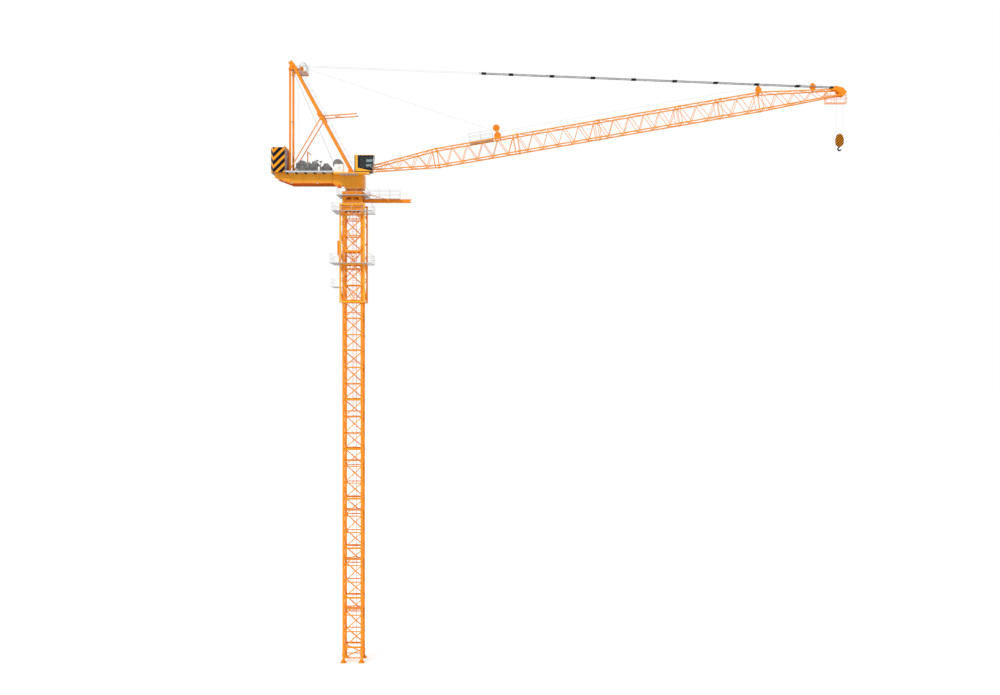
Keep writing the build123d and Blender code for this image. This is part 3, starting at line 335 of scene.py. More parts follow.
def stripes(name, pitch, share, shift, lightColor, darkColor, otherFaces=None):
    # hazard bands in enamel, rising to the front; with other faces named, the outer faces alone have
    # bands, and on the slanting corner face, where X runs shorter, the bands fall
    material, tree, shader, coords = newMaterial(name, 0.4)
    place, kind = coords.outputs["Object"], "ShaderNodeMath"
    at = addNode(tree, "ShaderNodeSeparateXYZ", {"Vector": place}).outputs
    normal = addNode(tree, "ShaderNodeSeparateXYZ", {"Vector": coords.outputs["Normal"]}).outputs
    bands = addNode(tree, kind, {0: at["X"], 1: at["Z"]}, operation="SUBTRACT").outputs[0]
    if otherFaces:
        slant = addNode(tree, kind, {0: at["X"], 1: 1.42}, operation="MULTIPLY").outputs[0]
        falling = addNode(tree, kind, {0: slant, 1: at["Z"]}, operation="ADD").outputs[0]
        corner = addNode(tree, kind, {0: normal["X"], 1: -0.3}, operation="LESS_THAN").outputs[0]
        bands = addNode(tree, "ShaderNodeMix", {"Factor": corner, 2: bands, 3: falling}).outputs[0]
    count = addNode(tree, kind, {0: bands, 1: 1.0 / pitch, 2: shift}, operation="MULTIPLY_ADD").outputs[0]
    wrap = addNode(tree, kind, {0: count}, operation="FRACT").outputs[0]
    dark = addNode(tree, kind, {0: wrap, 1: share}, operation="LESS_THAN").outputs[0]
    light = mottle(tree, place, lightColor, lightColor, 400)
    inputs = {"Factor": dark, 6: light, 7: hexColor(darkColor)}
    color = addNode(tree, "ShaderNodeMix", inputs, data_type="RGBA").outputs[2]
    if otherFaces:
        side = addNode(tree, kind, {0: normal["Y"]}, operation="ABSOLUTE").outputs[0]
        rear = addNode(tree, kind, {0: normal["X"], 1: -1.0}, operation="MULTIPLY").outputs[0]
        facing = addNode(tree, kind, {0: side, 1: rear}, operation="MAXIMUM").outputs[0]
        shown = addNode(tree, kind, {0: facing, 1: 0.4}, operation="GREATER_THAN").outputs[0]
        inputs = {"Factor": shown, 6: mottle(tree, place, *otherFaces, 220, 5.0), 7: color}
        color = addNode(tree, "ShaderNodeMix", inputs, data_type="RGBA").outputs[2]
    tree.links.new(color, shader.inputs["Base Color"])
    shader.inputs["Specular IOR Level"].default_value = 0.1
    grain(tree, shader, place, 25, 0.1, 0.002)
    return material


def tintedGlass():
    # laminated safety glass with a grey-green tint: clear, smooth, and darker than the sky behind it
    material, shader = patchyMaterial("tinted glass", 0.03, "#B4C4C9", "#C2D0D4", 600)[::2]
    shader.inputs["Transmission Weight"].default_value = 1.0
    shader.inputs["IOR"].default_value = 1.45
    return material


def wireRope():
    # drawn steel wires laid in strands: grey, greased, with a ripple drawn 30 mm long so that it shows
    material, tree, shader, coords = newMaterial("wire rope", 0.45, 0.6)
    inputs = {"Scale": perMillimetre(30) * bandShare, "Vector": coords.outputs["Object"]}
    ripple = addNode(tree, "ShaderNodeTexWave", inputs, bands_direction="DIAGONAL")
    ramp = ((0.0, "#A6A8AA"), (1.0, "#D2D4D5"))
    color = addNode(tree, "ShaderNodeValToRGB", {"Fac": ripple.outputs["Fac"]}, ramp)
    tree.links.new(color.outputs["Color"], shader.inputs["Base Color"])
    return material


def rolledSteel(name, first, second):
    # bare rolled bar with a grey mill skin: mottled along its length
    return patchyMaterial(name, 0.45, first, second, 220, 5.0, 0.4)[0]


orangeEnamel = enamel("orange enamel", "#EE8704", "#F2910A")
# a deeper orange that paints shade: the girders' lower flanges and inner lining, the dip's boss and the far
# counterweight straps
deepShadeEnamel = enamel("deep orange shade enamel", "#D9610A", "#E06C10")
ochreEnamel = enamel("ochre enamel", "#EC9A1C", "#F0A226")
latticeEnamel = enamel("lattice enamel", "#F19004", "#F59A0C")
yellowEnamel = enamel("yellow enamel", "#FBAC26", "#FDB42E", 0.35)
navyEnamel = enamel("navy enamel", "#161D2B", "#1E2636", 0.45, 0.12)
blackEnamel = enamel("black enamel", "#08090B", "#101114", 0.6, 0.1)
zinc = galvanised()
gratingSteel = grating()
machineGrey = machinePaint()
whiteCoat = powderCoat()
slabStripes = stripes("striped counterweight", 0.475, 0.56, -0.225, "#F59A1C", "#0B1220",
                      ("#8A5A34", "#A87244"))
hookStripes = stripes("striped hook block", 0.16, 0.64, 0.0, "#FA9A1A", "#05070B")
glassTint = tintedGlass()
ropeSteel = wireRope()
barSteel = rolledSteel("rolled steel bar", "#9FA1A3", "#CACBCC")
pendantSteel = rolledSteel("pendant bar steel", "#6A6C6E", "#A0A1A2")
print("materials made")


# Finishes of the CAD nodes; the mast's dressed sections take theirs from here too

nodeFinish = {
    "galvanised_steel": zinc,
    "machine_grey": machineGrey,
    "white_cabinet": whiteCoat,
    "counterweight_grey": slabStripes,
    "cab_paint": navyEnamel,
    "cab_glass": glassTint,
    "pendant_steel": barSteel,
    "black_steel": blackEnamel,
    "rope_steel": ropeSteel,
    "crane_orange": orangeEnamel,
}
mastNodes = ["mast_base", "mast_lower_sections", "mast_middle_sections", "mast_upper_sections"]
ownFinish = {
    "deck_floor": gratingSteel,
    "jib_walkway": gratingSteel,
    "turret": ochreEnamel,
    "cab_platform": yellowEnamel,
    **{node: latticeEnamel for node in mastNodes},
}
for part in frame["record"]["subparts"]:
    node = part["node"]
    paint(frame["nodes"][node], ownFinish.get(node, nodeFinish[part["material_slot"]]))
print("CAD nodes painted")


# Studio: camera, light, floor

studio = {
    "camera": (8.93, -69.0, 19.085),
    "lens": 40.68,
    "sensor": 36.0,
    "reach": 1000.0,
    "sunTurn": (52, 0, -38),  # high, from the near left
    "sunStrength": 1.5,
    "sunAngle": 12,
    "skyStrength": 0.75,
    "floorColors": ("#F2F2F2", "#F4F4F4"),
    "floorPatch": 3000,
    "floorSize": 600.0,
    "floorLevel": -0.002,
    "floorLift": 0.3,  # how much brighter the camera sees the floor
}


def makeCamera():
    camera = newPiece("camera", bpy.data.cameras.new("camera"))
    camera.data.lens = studio["lens"]
    camera.data.sensor_width = studio["sensor"]
    camera.data.clip_end = studio["reach"]
    camera.location = studio["camera"]
    camera.rotation_euler = (math.radians(90), 0, 0)
    bpy.context.scene.camera = camera
    bpy.context.scene.view_settings.view_transform = "Standard"


def makeLight():
    sun = newPiece("sun", bpy.data.lights.new("sun", "SUN"))
    sun.data.energy = studio["sunStrength"]
    sun.data.angle = math.radians(studio["sunAngle"])
    sun.rotation_euler = [math.radians(a) for a in studio["sunTurn"]]

    world = bpy.data.worlds.new("studio")
    bpy.context.scene.world = world
    world.use_nodes = True
    tree = world.node_tree
    tree.nodes.clear()
    rays = tree.nodes.new("ShaderNodeLightPath").outputs
    inputs = {0: rays["Is Camera Ray"], 1: rays["Is Glossy Ray"]}
    seen = addNode(tree, "ShaderNodeMath", inputs, operation="ADD").outputs[0]
    inputs = {0: seen, 1: rays["Is Transmission Ray"]}
    through = addNode(tree, "ShaderNodeMath", inputs, operation="ADD", use_clamp=True).outputs[0]
    sky, white = [addNode(tree, "ShaderNodeBackground", {"Color": hexColor("#FFFFFF"), "Strength": strength})
                  for strength in (studio["skyStrength"], 1.0)]
    inputs = {0: through, 1: sky.outputs["Background"], 2: white.outputs["Background"]}
    mix = addNode(tree, "ShaderNodeMixShader", inputs)
    addNode(tree, "ShaderNodeOutputWorld", {"Surface": mix.outputs["Shader"]})


def makeFloor():
    bpy.ops.mesh.primitive_plane_add(size=studio["floorSize"], location=(0, 0, studio["floorLevel"]))
    floor = settle(bpy.context.object)
    floor.name = "floor"
    colors, patch = studio["floorColors"], studio["floorPatch"]
    material, tree, shader = patchyMaterial("pale studio floor", 0.9, *colors, patch)[:3]
    rays = tree.nodes.new("ShaderNodeLightPath").outputs
    inputs = {0: rays["Is Camera Ray"], 1: studio["floorLift"]}
    lift = addNode(tree, "ShaderNodeMath", inputs, operation="MULTIPLY").outputs[0]
    shader.inputs["Emission Color"].default_value = hexColor("#FFFFFF")
    tree.links.new(lift, shader.inputs["Emission Strength"])
    paint(floor, material)


makeCamera()
makeLight()
makeFloor()
print("studio set")


# Railings: round tube on posts

rails = {
    "height": 0.52,
    "radius": 0.0066,
    "spacing": 0.62,
    "inset": 0.012,
}


def railRuns(start, end, height=rails["height"]):  # posts, top rail and middle rail between two floor points
    start, end = Vector(start), Vector(end)
    up = Vector(upright)
    top = height - rails["radius"]
    runs = [[start + up * h, end + up * h] for h in (top, height / 2)]
    spaces = max(1, round((end - start).length / rails["spacing"]))
    for i in range(spaces + 1):
        foot = start.lerp(end, i / spaces)
        runs += [[foot, foot + up * top]]
    return runs


towerDecks = {
    "upper": {"z": 27.35, "x": (-1.2, 1.2), "y": 1.1, "rail": 0.445},
    "lower": {"z": 24.2, "x": (-1.325, 1.175), "y": 1.1, "rail": 0.52},
    "slew": {"z": 28.3, "x": (-0.925, 0.925), "y": 1.0, "rail": 0.37},
    "ram": {"z": 22.775, "x": -1.3, "y": 0.72},
    "walk": {"z": 28.15, "x": (0.945, 2.825), "y": 0.3, "floorStart": 0.926},
    "gate": 0.365,
}


def towerEdges():
    inset = rails["inset"]
    edges = []
    for key in ("upper", "lower", "slew"):
        deck = towerDecks[key]
        x0, x1 = deck["x"][0] + inset, deck["x"][1] - inset
        y, z = deck["y"] - inset, deck["z"]
        edges += [((x0, s * y, z), (x1, s * y, z), deck["rail"]) for s in bothSides]
        edges += [((x0, -y, z), (x0, y, z), deck["rail"])]
        if key == "slew":
            edges += [((x1, s * towerDecks["gate"], z), (x1, s * y, z), deck["rail"]) for s in bothSides]
        else:
            edges += [((x1, -y, z), (x1, y, z), deck["rail"])]
    ram, walk = towerDecks["ram"], towerDecks["walk"]
    x, y, z = ram["x"] + inset, ram["y"], ram["z"]
    edges += [((x, -y, z), (x, y, z))]
    (x0, x1), y, z = walk["x"], walk["y"] - inset, walk["z"]
    edges += [((x0, s * y, z), (x1, s * y, z)) for s in bothSides]
    return edges


towerRuns = [run for edge in towerEdges() for run in railRuns(*edge)]
finishJoined("tower_tube_rails", [addTubes("rails", towerRuns, rails["radius"])], zinc,
             "tower", ["tower_rails"])
print("tower railings made")


# Tower floors: plated strips, and open bars on the side where new sections come in

floors = {
    "hole": 0.775,
    "slewHole": 0.6125,
    "thick": 0.03,
    "gap": 0.001,
    "edge": 0.02,
    "bevel": 0.003,
    "bar": 0.005,
    "barDrop": 0.004,
    "pitch": 0.07,
    "kneeX": 0.725,
    "kneeFoot": 0.3,
    "kneeHead": 0.035,
    "kneeInset": 0.06,
    "knee": 0.012,
}


def floorStrip(x, y, z):
    return addBox((x[0], y[0], z - floors["thick"]), (x[1], y[1], z), floors["bevel"])


def makeFloors():
    thick, gap, edge, half = floors["thick"], floors["gap"], floors["edge"], floors["bar"] / 2
    pieces, knees = [], []
    for key in ("upper", "lower", "slew"):
        (x0, x1), y, z = [towerDecks[key][name] for name in ("x", "y", "z")]
        hole = floors["slewHole" if key == "slew" else "hole"]
        inside = (-hole + gap, hole - gap)
        pieces += [floorStrip((x0, x1), (-y, -hole), z), floorStrip((x0, x1), (hole, y), z)]
        pieces += [floorStrip((x0, -hole), inside, z)]
        if key == "slew":
            pieces += [floorStrip((hole, x1), inside, z)]
            continue
        pieces += [floorStrip((x1 - edge, x1), inside, z), floorStrip((hole, hole + edge), inside, z)]
        count = int((x1 - hole) / floors["pitch"])
        for i in range(1, count):
            at = hole + i * (x1 - hole) / count
            low = z - thick + floors["barDrop"]
            pieces += [addBeam((at - half, at + half), hole - 2 * gap, (low, z - gap))]
        for side in bothSides:
            foot, head = side * hole, side * (y - floors["kneeInset"])
            for x in (-floors["kneeX"], floors["kneeX"]):
                knees += [[(x, foot, z - floors["kneeFoot"]), (x, head, z - floors["kneeHead"])]]
    ram, walk = towerDecks["ram"], towerDecks["walk"]
    pieces += [floorStrip((ram["x"], -floors["hole"]), (-ram["y"], ram["y"]), ram["z"])]
    pieces += [floorStrip((walk["floorStart"], walk["x"][1]), (-walk["y"], walk["y"]), walk["z"])]
    pieces += [addTubes("knees", knees, floors["knee"])]
    finishJoined("tower_floors", pieces, gratingSteel, "tower", ["tower_platforms"])


makeFloors()
print("tower floors made")


# Jib lattice in round tube

jib = {
    "angle": 9.89,
    "ends": [0.0, 5.0, 10.0, 15.0, 20.0, 22.5, 25.0, 29.44],
    "seam": 0.0003,
    "halfHeight": 0.47,
    "lower": 0.546,  # the lower chords hang deeper than in the CAD, as in the photo
    "tipLower": 0.47,
    "halfWidth": 0.4625,
    "tipHalfWidth": 0.25,
    "tipUpper": -0.09,
    "footHalf": 0.02,
    "deck": 0.0325,  # from the upper chords' middle to what stands on them
    "chord": 0.038,
    "lacing": 0.017,
    "panel": 0.5,
    "firstPost": 0.04,
    "lastPost": 0.22,
    "laceFrom": 1.2,  # the foot is open before here
    "openFrom": 27.4,  # no lacing below here, where the rope hangs through with the jib raised
    "footLug": [(0.0455, -0.0325), (0.095, -0.0325), (0.1, -0.0275)],
}
pivot = jointPlace("luff")
jibTurn = Matrix.Translation(pivot) @ Matrix.Rotation(math.radians(-jib["angle"]), 4, "Y")


def jibPoint(s, y, h):
    return jibTurn @ Vector((s, y, h))


def jibCorners(s):  # half width, lower height and upper height of the lattice at a distance
    ends, low, high, width = jib["ends"], jib["lower"], jib["halfHeight"], jib["halfWidth"]
    if s <= ends[1]:
        low, high = [jib["footHalf"] + (full - jib["footHalf"]) * s / ends[1] for full in (low, high)]
    if s >= ends[6]:
        share = (s - ends[6]) / (ends[7] - ends[6])
        width += share * (jib["tipHalfWidth"] - width)
        low += share * (jib["tipLower"] - low)
        high += share * (jib["tipUpper"] - high)
    return width, -low, high


def panels(start, stop, count):  # the two ends of each panel, and a sign that turns over from one to the next
    places = [start + i * (stop - start) / count for i in range(count + 1)]
    return [(places[i], places[i + 1], 1 - 2 * (i % 2)) for i in range(count)]


def jibSection(name, start, end):
    def corner(s, side, level):
        width, low, high = jibCorners(s)
        return jibPoint(s, side * width, high if level > 0 else low)

    chords = [[corner(start, y, h), corner(end, y, h)] for y in bothSides for h in (-1, 1)]
    first, last = start + jib["firstPost"], end - jib["lastPost"]
    lacing = []
    for side in bothSides:
        lacing += [[corner(s, side, -1), corner(s, side, 1)] for s in (first, last)]
        for a, b, up in panels(first, last, 2 * round((end - start) / jib["panel"] / 2)):
            lacing += [[corner(a, side, up), corner(b, side, -up)]]
    begin = max(first, jib["laceFrom"])
    for level in (-1, 1):
        stop = min(last, jib["openFrom"]) if level < 0 else last
        lacing += [[corner(s, -1, level), corner(s, 1, level)] for s in (begin, stop)]
        for a, b, side in panels(begin, stop, round((stop - begin) / jib["panel"] / 2)):
            lacing += [[corner(a, -side, level), corner(b, side, level)]]
    return [addTubes(name, chords, jib["chord"], 12), addTubes(name, lacing, jib["lacing"], 8)]


def makeJib():
    ends = jib["ends"]
    groups = {
        "jib_foot_section": [(ends[0], ends[1])],
        "jib_middle_sections": list(zip(ends[1:6], ends[2:7])),
        "jib_tip_section": [(ends[6], ends[7])],
    }
    for node, spans in groups.items():
        pieces = []
        for start, end in spans:
            pieces += jibSection(node, start, end - jib["seam"])
        piece = paint(joinPieces("tube_" + node, pieces), latticeEnamel)
        if node == "jib_foot_section":
            profile = bothFaces(jib["footLug"]) + jib["footLug"][:1]
            lugs = [addTurned(profile, (pivot.x, side * jib["halfWidth"], pivot.z)) for side in bothSides]
            piece = joinPieces(piece.name, [piece] + [paint(lug, orangeEnamel) for lug in lugs])
        finishPiece(piece, "jib", [node])


makeJib()
print("jib lattice made")


# Ropes: round laid wire from sheave to sheave

ropes = {
    "luffRadius": 0.006,
    "hoistRadius": 0.005,
    "luffSheave": 0.15,
    "pendantY": 0.15,
    "pendantLength": 21.785,
    "luffKeep": 0.24729,  # share of the run that is left with the jib raised
    "leadKeep": 0.36508,
    "leadStop": 0.36,  # short of the first guide pulley's middle
    "hoistDrum": 0.2473,
    "luffDrum": 0.2193,
    "fall": 0.2,
    "drop": 2.8,
    "guide": (8.858, 0.927),
    "smallPulleys": [(25.019, 0.713), (28.325, 0.315)],
    "smallGrip": 0.1823,
    "headSheave": (29.875, -0.318),
}


def touchLine(first, firstRadius, second, secondRadius):  # the line that touches two wheels, in X and Z
    run = Vector((second[0] - first[0], second[1] - first[1]))
    turn = math.atan2(run.y, run.x) + math.acos((firstRadius - secondRadius) / run.length)
    out = Vector((math.cos(turn), math.sin(turn)))
    return Vector(first) + out * firstRadius, Vector(second) + out * secondRadius


def flatPlace(point):
    return (point[0], point[2])


def flatJoint(name):
    return flatPlace(jointPlace(name))


def ropeRun(start, end, y):
    return [(start[0], y, start[1]), (end[0], y, end[1])]


def luffLine():  # from the A-frame sheave to the pendants' pin on the jib
    return touchLine(flatJoint("luffing_rope_swing"), ropes["luffSheave"], flatJoint("pendant_swing"), 0)


def makeSwingingRopes():
    touch, pinEnd = luffLine()
    way = (pinEnd - touch).normalized()
    stop = pinEnd - way * ropes["pendantLength"]
    runs = [ropeRun(touch, stop, side * ropes["pendantY"]) for side in bothSides]
    tackle = finishJoined("luffing_wire", [addTubes("falls", runs, ropes["luffRadius"])], ropeSteel,
                          "luffing_tackle", ["luffing_ropes"])
    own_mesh(tackle)

    guide = flatPlace(jibPoint(ropes["guide"][0], 0, ropes["guide"][1]))
    touch, end = touchLine(flatJoint("hoist_lead_swing"), ropes["luffSheave"], guide, 0)
    way = (end - touch).normalized()
    runs = [ropeRun(touch, end - way * ropes["leadStop"], 0)]
    lead = finishJoined("hoist_lead_wire", [addTubes("lead", runs, ropes["hoistRadius"])], ropeSteel,
                        "hoist_lead", ["hoist_lead_rope"])
    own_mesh(lead)


def makeFixedRopes():
    grip = ropes["luffSheave"]
    up = touchLine(flatJoint("hoist_drum_turn"), ropes["hoistDrum"], flatJoint("hoist_lead_swing"), grip)
    pieces = [addTubes("deck_wire", [ropeRun(*up, 0)], ropes["hoistRadius"])]
    up = touchLine(flatJoint("luffing_drum_turn"), ropes["luffDrum"], flatJoint("luffing_rope_swing"), grip)
    runs = [ropeRun(*up, side * ropes["pendantY"]) for side in bothSides]
    pieces += [addTubes("deck_wire", runs, ropes["luffRadius"])]
    finishJoined("deck_wire", pieces, ropeSteel, "upperworks", ["deck_ropes"])

    stations = [(ropes["guide"], 0)] + [(place, ropes["smallGrip"]) for place in ropes["smallPulleys"]]
    stations += [(ropes["headSheave"], ropes["fall"])]
    runs = [ropeRun(*touchLine(*a, *b), 0) for a, b in zip(stations, stations[1:])]
    finishJoined("jib_wire", [addTubes("along", runs, ropes["hoistRadius"])], ropeSteel,
                 "jib", ["jib_hoist_rope"], jibTurn)


def makeFalls():
    top, drop = jointPlace("hook_hang"), Vector((0, 0, ropes["drop"]))
    sides = [top + Vector((side * ropes["fall"], 0, 0)) for side in bothSides]
    falls = addTubes("hoist_falls_wire", [[place, place - drop] for place in sides], ropes["hoistRadius"])
    smooth(paint(falls, ropeSteel))
    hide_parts("hoist_rope")
    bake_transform(falls)


makeSwingingRopes()
makeFixedRopes()
makeFalls()
print("ropes made")


# Sheaves: turned, with a groove, a thin web and a hub

sheaves = {
    "half": 0.02,
    "lip": 0.016,
    "hub": 0.035,
    "rim": 0.035,
    "rimSlope": 0.01,
    "web": 0.4,  # shares of the half width
    "lipShoulder": 0.7,
    "grooveFloor": 0.35,
    "luffGroove": 0.1407,
    "leadGroove": 0.1427,
    "hookGroove": 0.1927,
    "luffAxle": 0.0455,
    "hookAxle": 0.041,
    "leadAxle": 0.03,
    "leadPin": 0.075,
    "leadArmFoot": [(-3.39, 36.0055), (-3.39, 36.1055)],
    "leadArmHead": [(0.03, 0.05), (0.055, 0.0), (0.03, -0.05)],
    "leadArm": 0.02,
    "leadArmY": (-0.06, 0.04),
}


def addSheave(centre, groove, axle):
    half, lip, inner = sheaves["half"], groove + sheaves["lip"], groove - sheaves["rim"]
    hub, web = axle + sheaves["hub"], half * sheaves["web"]
    edge = [(axle, -half), (hub, -half), (hub, -web), (inner, -web), (inner + sheaves["rimSlope"], -half),
            (lip, -half), (lip, -half * sheaves["lipShoulder"]), (groove, -half * sheaves["grooveFloor"])]
    return addTurned(bothFaces(edge) + edge[:1], centre, steps=36)


def addPin(centre, radius, y0, y1, head=0.012):  # a round pin across the crane with two chamfered heads
    grip, chamfer = radius * 1.35, 0.004
    profile = [(0, y0), (grip - chamfer, y0), (grip, y0 + chamfer), (grip, y0 + head), (radius, y0 + head),
               (radius, y1 - head), (grip, y1 - head), (grip, y1 - chamfer), (grip - chamfer, y1), (0, y1)]
    return addTurned(profile, (centre[0], 0, centre[1]), steps=20)


def makeSheaves():
    top = jointPlace("luffing_rope_swing")
    places = [top + Vector((0, side * ropes["pendantY"], 0)) for side in bothSides]
    pair = [addSheave(place, sheaves["luffGroove"], sheaves["luffAxle"]) for place in places]
    finishJoined("a_frame_turned_sheaves", pair, machineGrey,
                 "upperworks", ["a_frame_sheaves"])
    for joint, body, node in (("hook_hang", "jib", "jib_head_sheave"),
                              ("hoist", "hook_block", "hook_block_sheave")):
        sheave = addSheave(jointPlace(joint), sheaves["hookGroove"], sheaves["hookAxle"])
        finishJoined(node + "_turned", [sheave], orangeEnamel, body, [node])
    lead = jointPlace("hoist_lead_swing")
    arm = sheaves["leadArmFoot"] + [(lead.x + x, lead.z + z) for x, z in sheaves["leadArmHead"]]
    axle, pin = sheaves["leadAxle"], sheaves["leadPin"]
    pieces = [addSheave(lead, sheaves["leadGroove"], axle), addPin((lead.x, lead.z), axle, -pin, pin)]
    pieces += [addSheet(arm, y, y + sheaves["leadArm"], sheetBevel) for y in sheaves["leadArmY"]]
    finishJoined("lead_turned_sheave", pieces, orangeEnamel, "upperworks", ["lead_sheave"])


makeSheaves()


# Pendants: round bars between the links, and the links' pins

pendants = {
    "bar": 0.027,
    "tail": 0.017,
    "first": 2.12,
    "step": 2.5,
    "count": 8,
    "last": 21.285,
    "link": 0.28,
    "pin": 0.015,
    "pinInset": 0.05,
    "pinReach": 0.035,
    "gap": 0.04,  # between the tails and the luffing ropes
}


def makePendants():
    touch, end = luffLine()
    way = (touch - end).normalized()
    link, inset, reach = pendants["link"], pendants["pinInset"], pendants["pinReach"]
    starts = [pendants["first"] + pendants["step"] * i for i in range(pendants["count"])] + [pendants["last"]]
    stops = [link] + [s + link for s in starts]
    tailEnd = end + way * (ropes["pendantLength"] - pendants["gap"])
    bars, tails, pins = [], [], []
    for y in (-ropes["pendantY"], ropes["pendantY"]):
        bars += [ropeRun(end + way * a, end + way * b, y) for a, b in zip(stops, starts)]
        tails += [ropeRun(end + way * stops[-1], tailEnd, y)]
        for s in starts:
            pins += [addPin(end + way * distance, pendants["pin"], y - reach, y + reach, 0.01)
                     for distance in (s + inset, s + link - inset)]
    pieces = [addTubes("bars", bars, pendants["bar"], 10), addTubes("tails", tails, pendants["tail"], 10)]
    finishJoined("pendant_rods", pieces, pendantSteel, "pendant", ["pendant_bars"])
    finishJoined("pendant_pins", pins, blackEnamel, "pendant")


makePendants()


# Pulleys on the jib: a pair that guides the hoist rope, and two small ones to the tip

jibPulleys = {
    "half": 0.018,
    "plate": 0.02,
    "guideRadius": 0.21,
    "guideApart": 0.2323,
    "guidePin": (0.025, 0.085),
    "guidePlateY": (-0.07, 0.05),
    "postFoot": 0.19,
    "postHalf": 0.05,
    "postWaist": 0.12,
    "postHead": 0.07,
    "footBeams": (-0.14, 0.14),
    "footBeam": 0.04,
    "footReach": 0.49,
    "smallRadius": 0.175,
    "smallPin": (0.022, 0.075),
    "smallPlateY": (-0.06, 0.04),
    "cheekHigh": 0.23,
    "cheekHalves": (0.06, 0.21, 0.05),  # at the foot, the pulley's axle and the top
    "smallBeam": 0.045,
    "lip": 0.004,
    "groove": 0.006,
}


def addPulley(s, h, hub, rim, pin, steps):  # its edge runs from the hub's end over the web to the groove
    half, (radius, reach) = jibPulleys["half"], pin
    edge = hub + [(rim + jibPulleys["lip"], -half), (rim - jibPulleys["groove"], 0)]
    return [addTurned(bothFaces(edge), (s, 0, h), steps=steps), addPin((s, h), radius, -reach, reach)]


def makeGuidePulleys():
    size = jibPulleys
    (s, h), rim, half, apart = ropes["guide"], size["guideRadius"], size["half"], size["guideApart"]
    hub = [(0, -0.05), (0.05, -0.05), (0.055, -0.03), (0.055, -half * 0.5), (rim - 0.05, -half * 0.5),
           (rim - 0.04, -half)]
    pieces = []
    for z in (h - apart, h + apart):
        pieces += addPulley(s, z, hub, rim, size["guidePin"], 36)
    top, foot, post = jib["halfHeight"] + jib["deck"], size["postFoot"], size["postHalf"]
    waist, high = h - size["postWaist"], h + apart + size["postHead"]
    outline = [(s - foot, top), (s + foot, top), (s + post, waist), (s + post, high), (s + 0.03, high + 0.03),
               (s - 0.03, high + 0.03), (s - post, high), (s - post, waist)]
    pieces += [addSheet(outline, y, y + size["plate"], sheetBevel) for y in size["guidePlateY"]]
    beam = size["footBeam"]
    pieces += [addBeam((s + x - beam, s + x + beam), size["footReach"], (top - 0.004, top + 0.05), beamBevel)
               for x in size["footBeams"]]
    return pieces


def makeSmallPulleys():
    size, pieces = jibPulleys, []
    rim, half, beam = size["smallRadius"], size["half"], size["smallBeam"]
    foot, wide, head = size["cheekHalves"]
    hub = [(0, -0.045), (0.04, -0.045), (0.045, -0.01), (rim - 0.04, -0.01), (rim - 0.03, -half)]
    for s, h in ropes["smallPulleys"]:
        width, base = jibCorners(s)[::2]
        base, top = base + jib["deck"], h + size["cheekHigh"]
        pieces += addPulley(s, h, hub, rim, size["smallPin"], 32)
        cheek = [(s - foot, base), (s + foot, base), (s + wide, h), (s + head, top), (s - head, top),
                 (s - wide, h)]
        pieces += [addSheet(cheek, y, y + size["plate"], sheetBevel) for y in size["smallPlateY"]]
        pieces += [addBeam((s - beam, s + beam), width, (base - 0.004, base + 0.035), slatBevel)]
    return pieces


finishJoined("turned_guide_pulleys", makeGuidePulleys() + makeSmallPulleys(), orangeEnamel,
             "jib", ["guide_pulleys"], jibTurn)
print("sheaves, pendants and pulleys made")


# Jib joints: rounded lugs and pins where two sections meet

jibJoint = {
    "length": 0.1,
    "height": 0.052,
    "side": 0.045,
    "round": 0.02,
    "pin": 0.02,
    "pinX": 0.055,
    "pinOut": 0.02,
}


def makeJibJoints():
    length, height, side = jibJoint["length"], jibJoint["height"], jibJoint["side"]
    reach = side + jibJoint["pinOut"]
    pieces = [bevelEdges(addBeam((-length, length), side, (-height, height)), jibJoint["round"], 2)]
    pieces += [addPin((x, 0), jibJoint["pin"], -reach, reach) for x in (-jibJoint["pinX"], jibJoint["pinX"])]
    one = joinPieces("jib_lug", pieces)
    copies = []
    for s in jib["ends"][1:7]:
        for y in (-jib["halfWidth"], jib["halfWidth"]):
            copies += [copyPiece(one, (s, y, level)) for level in jibCorners(s)[1:]]
    bpy.data.objects.remove(one)
    finishJoined("jib_joint_lugs", copies, latticeEnamel, "jib", (), jibTurn)


makeJibJoints()


# Jib walkway rails and head basket

jibWalk = {"start": 7.1, "end": 8.56, "half": 0.45, "rail": 0.009}
basket = {
    "start": 28.77,
    "end": 30.06,
    "inner": 0.1,
    "outer": 0.2,
    "drop": 0.64,
    "plate": 0.03,
    "rail": 0.008,
    "hanger": 0.25,
    "hangers": (0.04, 0.43),
    "hangerDrop": 0.015,
    "hangerTop": 0.33,
}


def makeJibRails():
    top, runs = jib["halfHeight"] + jib["deck"], []
    for y in (-jibWalk["half"], jibWalk["half"]):
        runs += railRuns((jibWalk["start"], y, top), (jibWalk["end"], y, top))
    finishJoined("jib_tube_rails", [addTubes("rails", runs, jibWalk["rail"])], zinc,
                 "jib", ["jib_walkway_rails"], jibTurn)


def makeBasket():
    level = jointPlace("hook_hang").z - basket["drop"]
    inset, foot = rails["inset"], level - basket["hangerDrop"]
    x0, x1 = basket["start"] + inset, basket["end"] - inset
    runs, pieces = [], []
    for side in bothSides:
        inner, outer, hanger = [side * basket[key] for key in ("inner", "outer", "hanger")]
        y = outer - side * inset
        runs += railRuns((x0, y, level), (x1, y, level))
        for x in (x0, x1):
            runs += railRuns((x, y, level), (x, inner, level))
        for x in [x0 + step for step in basket["hangers"]]:
            runs += [[(x, inner, foot), (x, hanger, foot), (x, hanger, level + basket["hangerTop"])]]
        low, high = sorted((inner, outer))
        under = level - basket["plate"]
        pieces += [addBox((basket["start"], low, under), (basket["end"], high, level), plateBevel)]
    pieces += [addTubes("basket", runs, basket["rail"])]
    finishJoined("head_basket", pieces, orangeEnamel, "jib", ["jib_basket"])


makeJibRails()
makeBasket()
print("jib fittings made")


# Hook block and hook

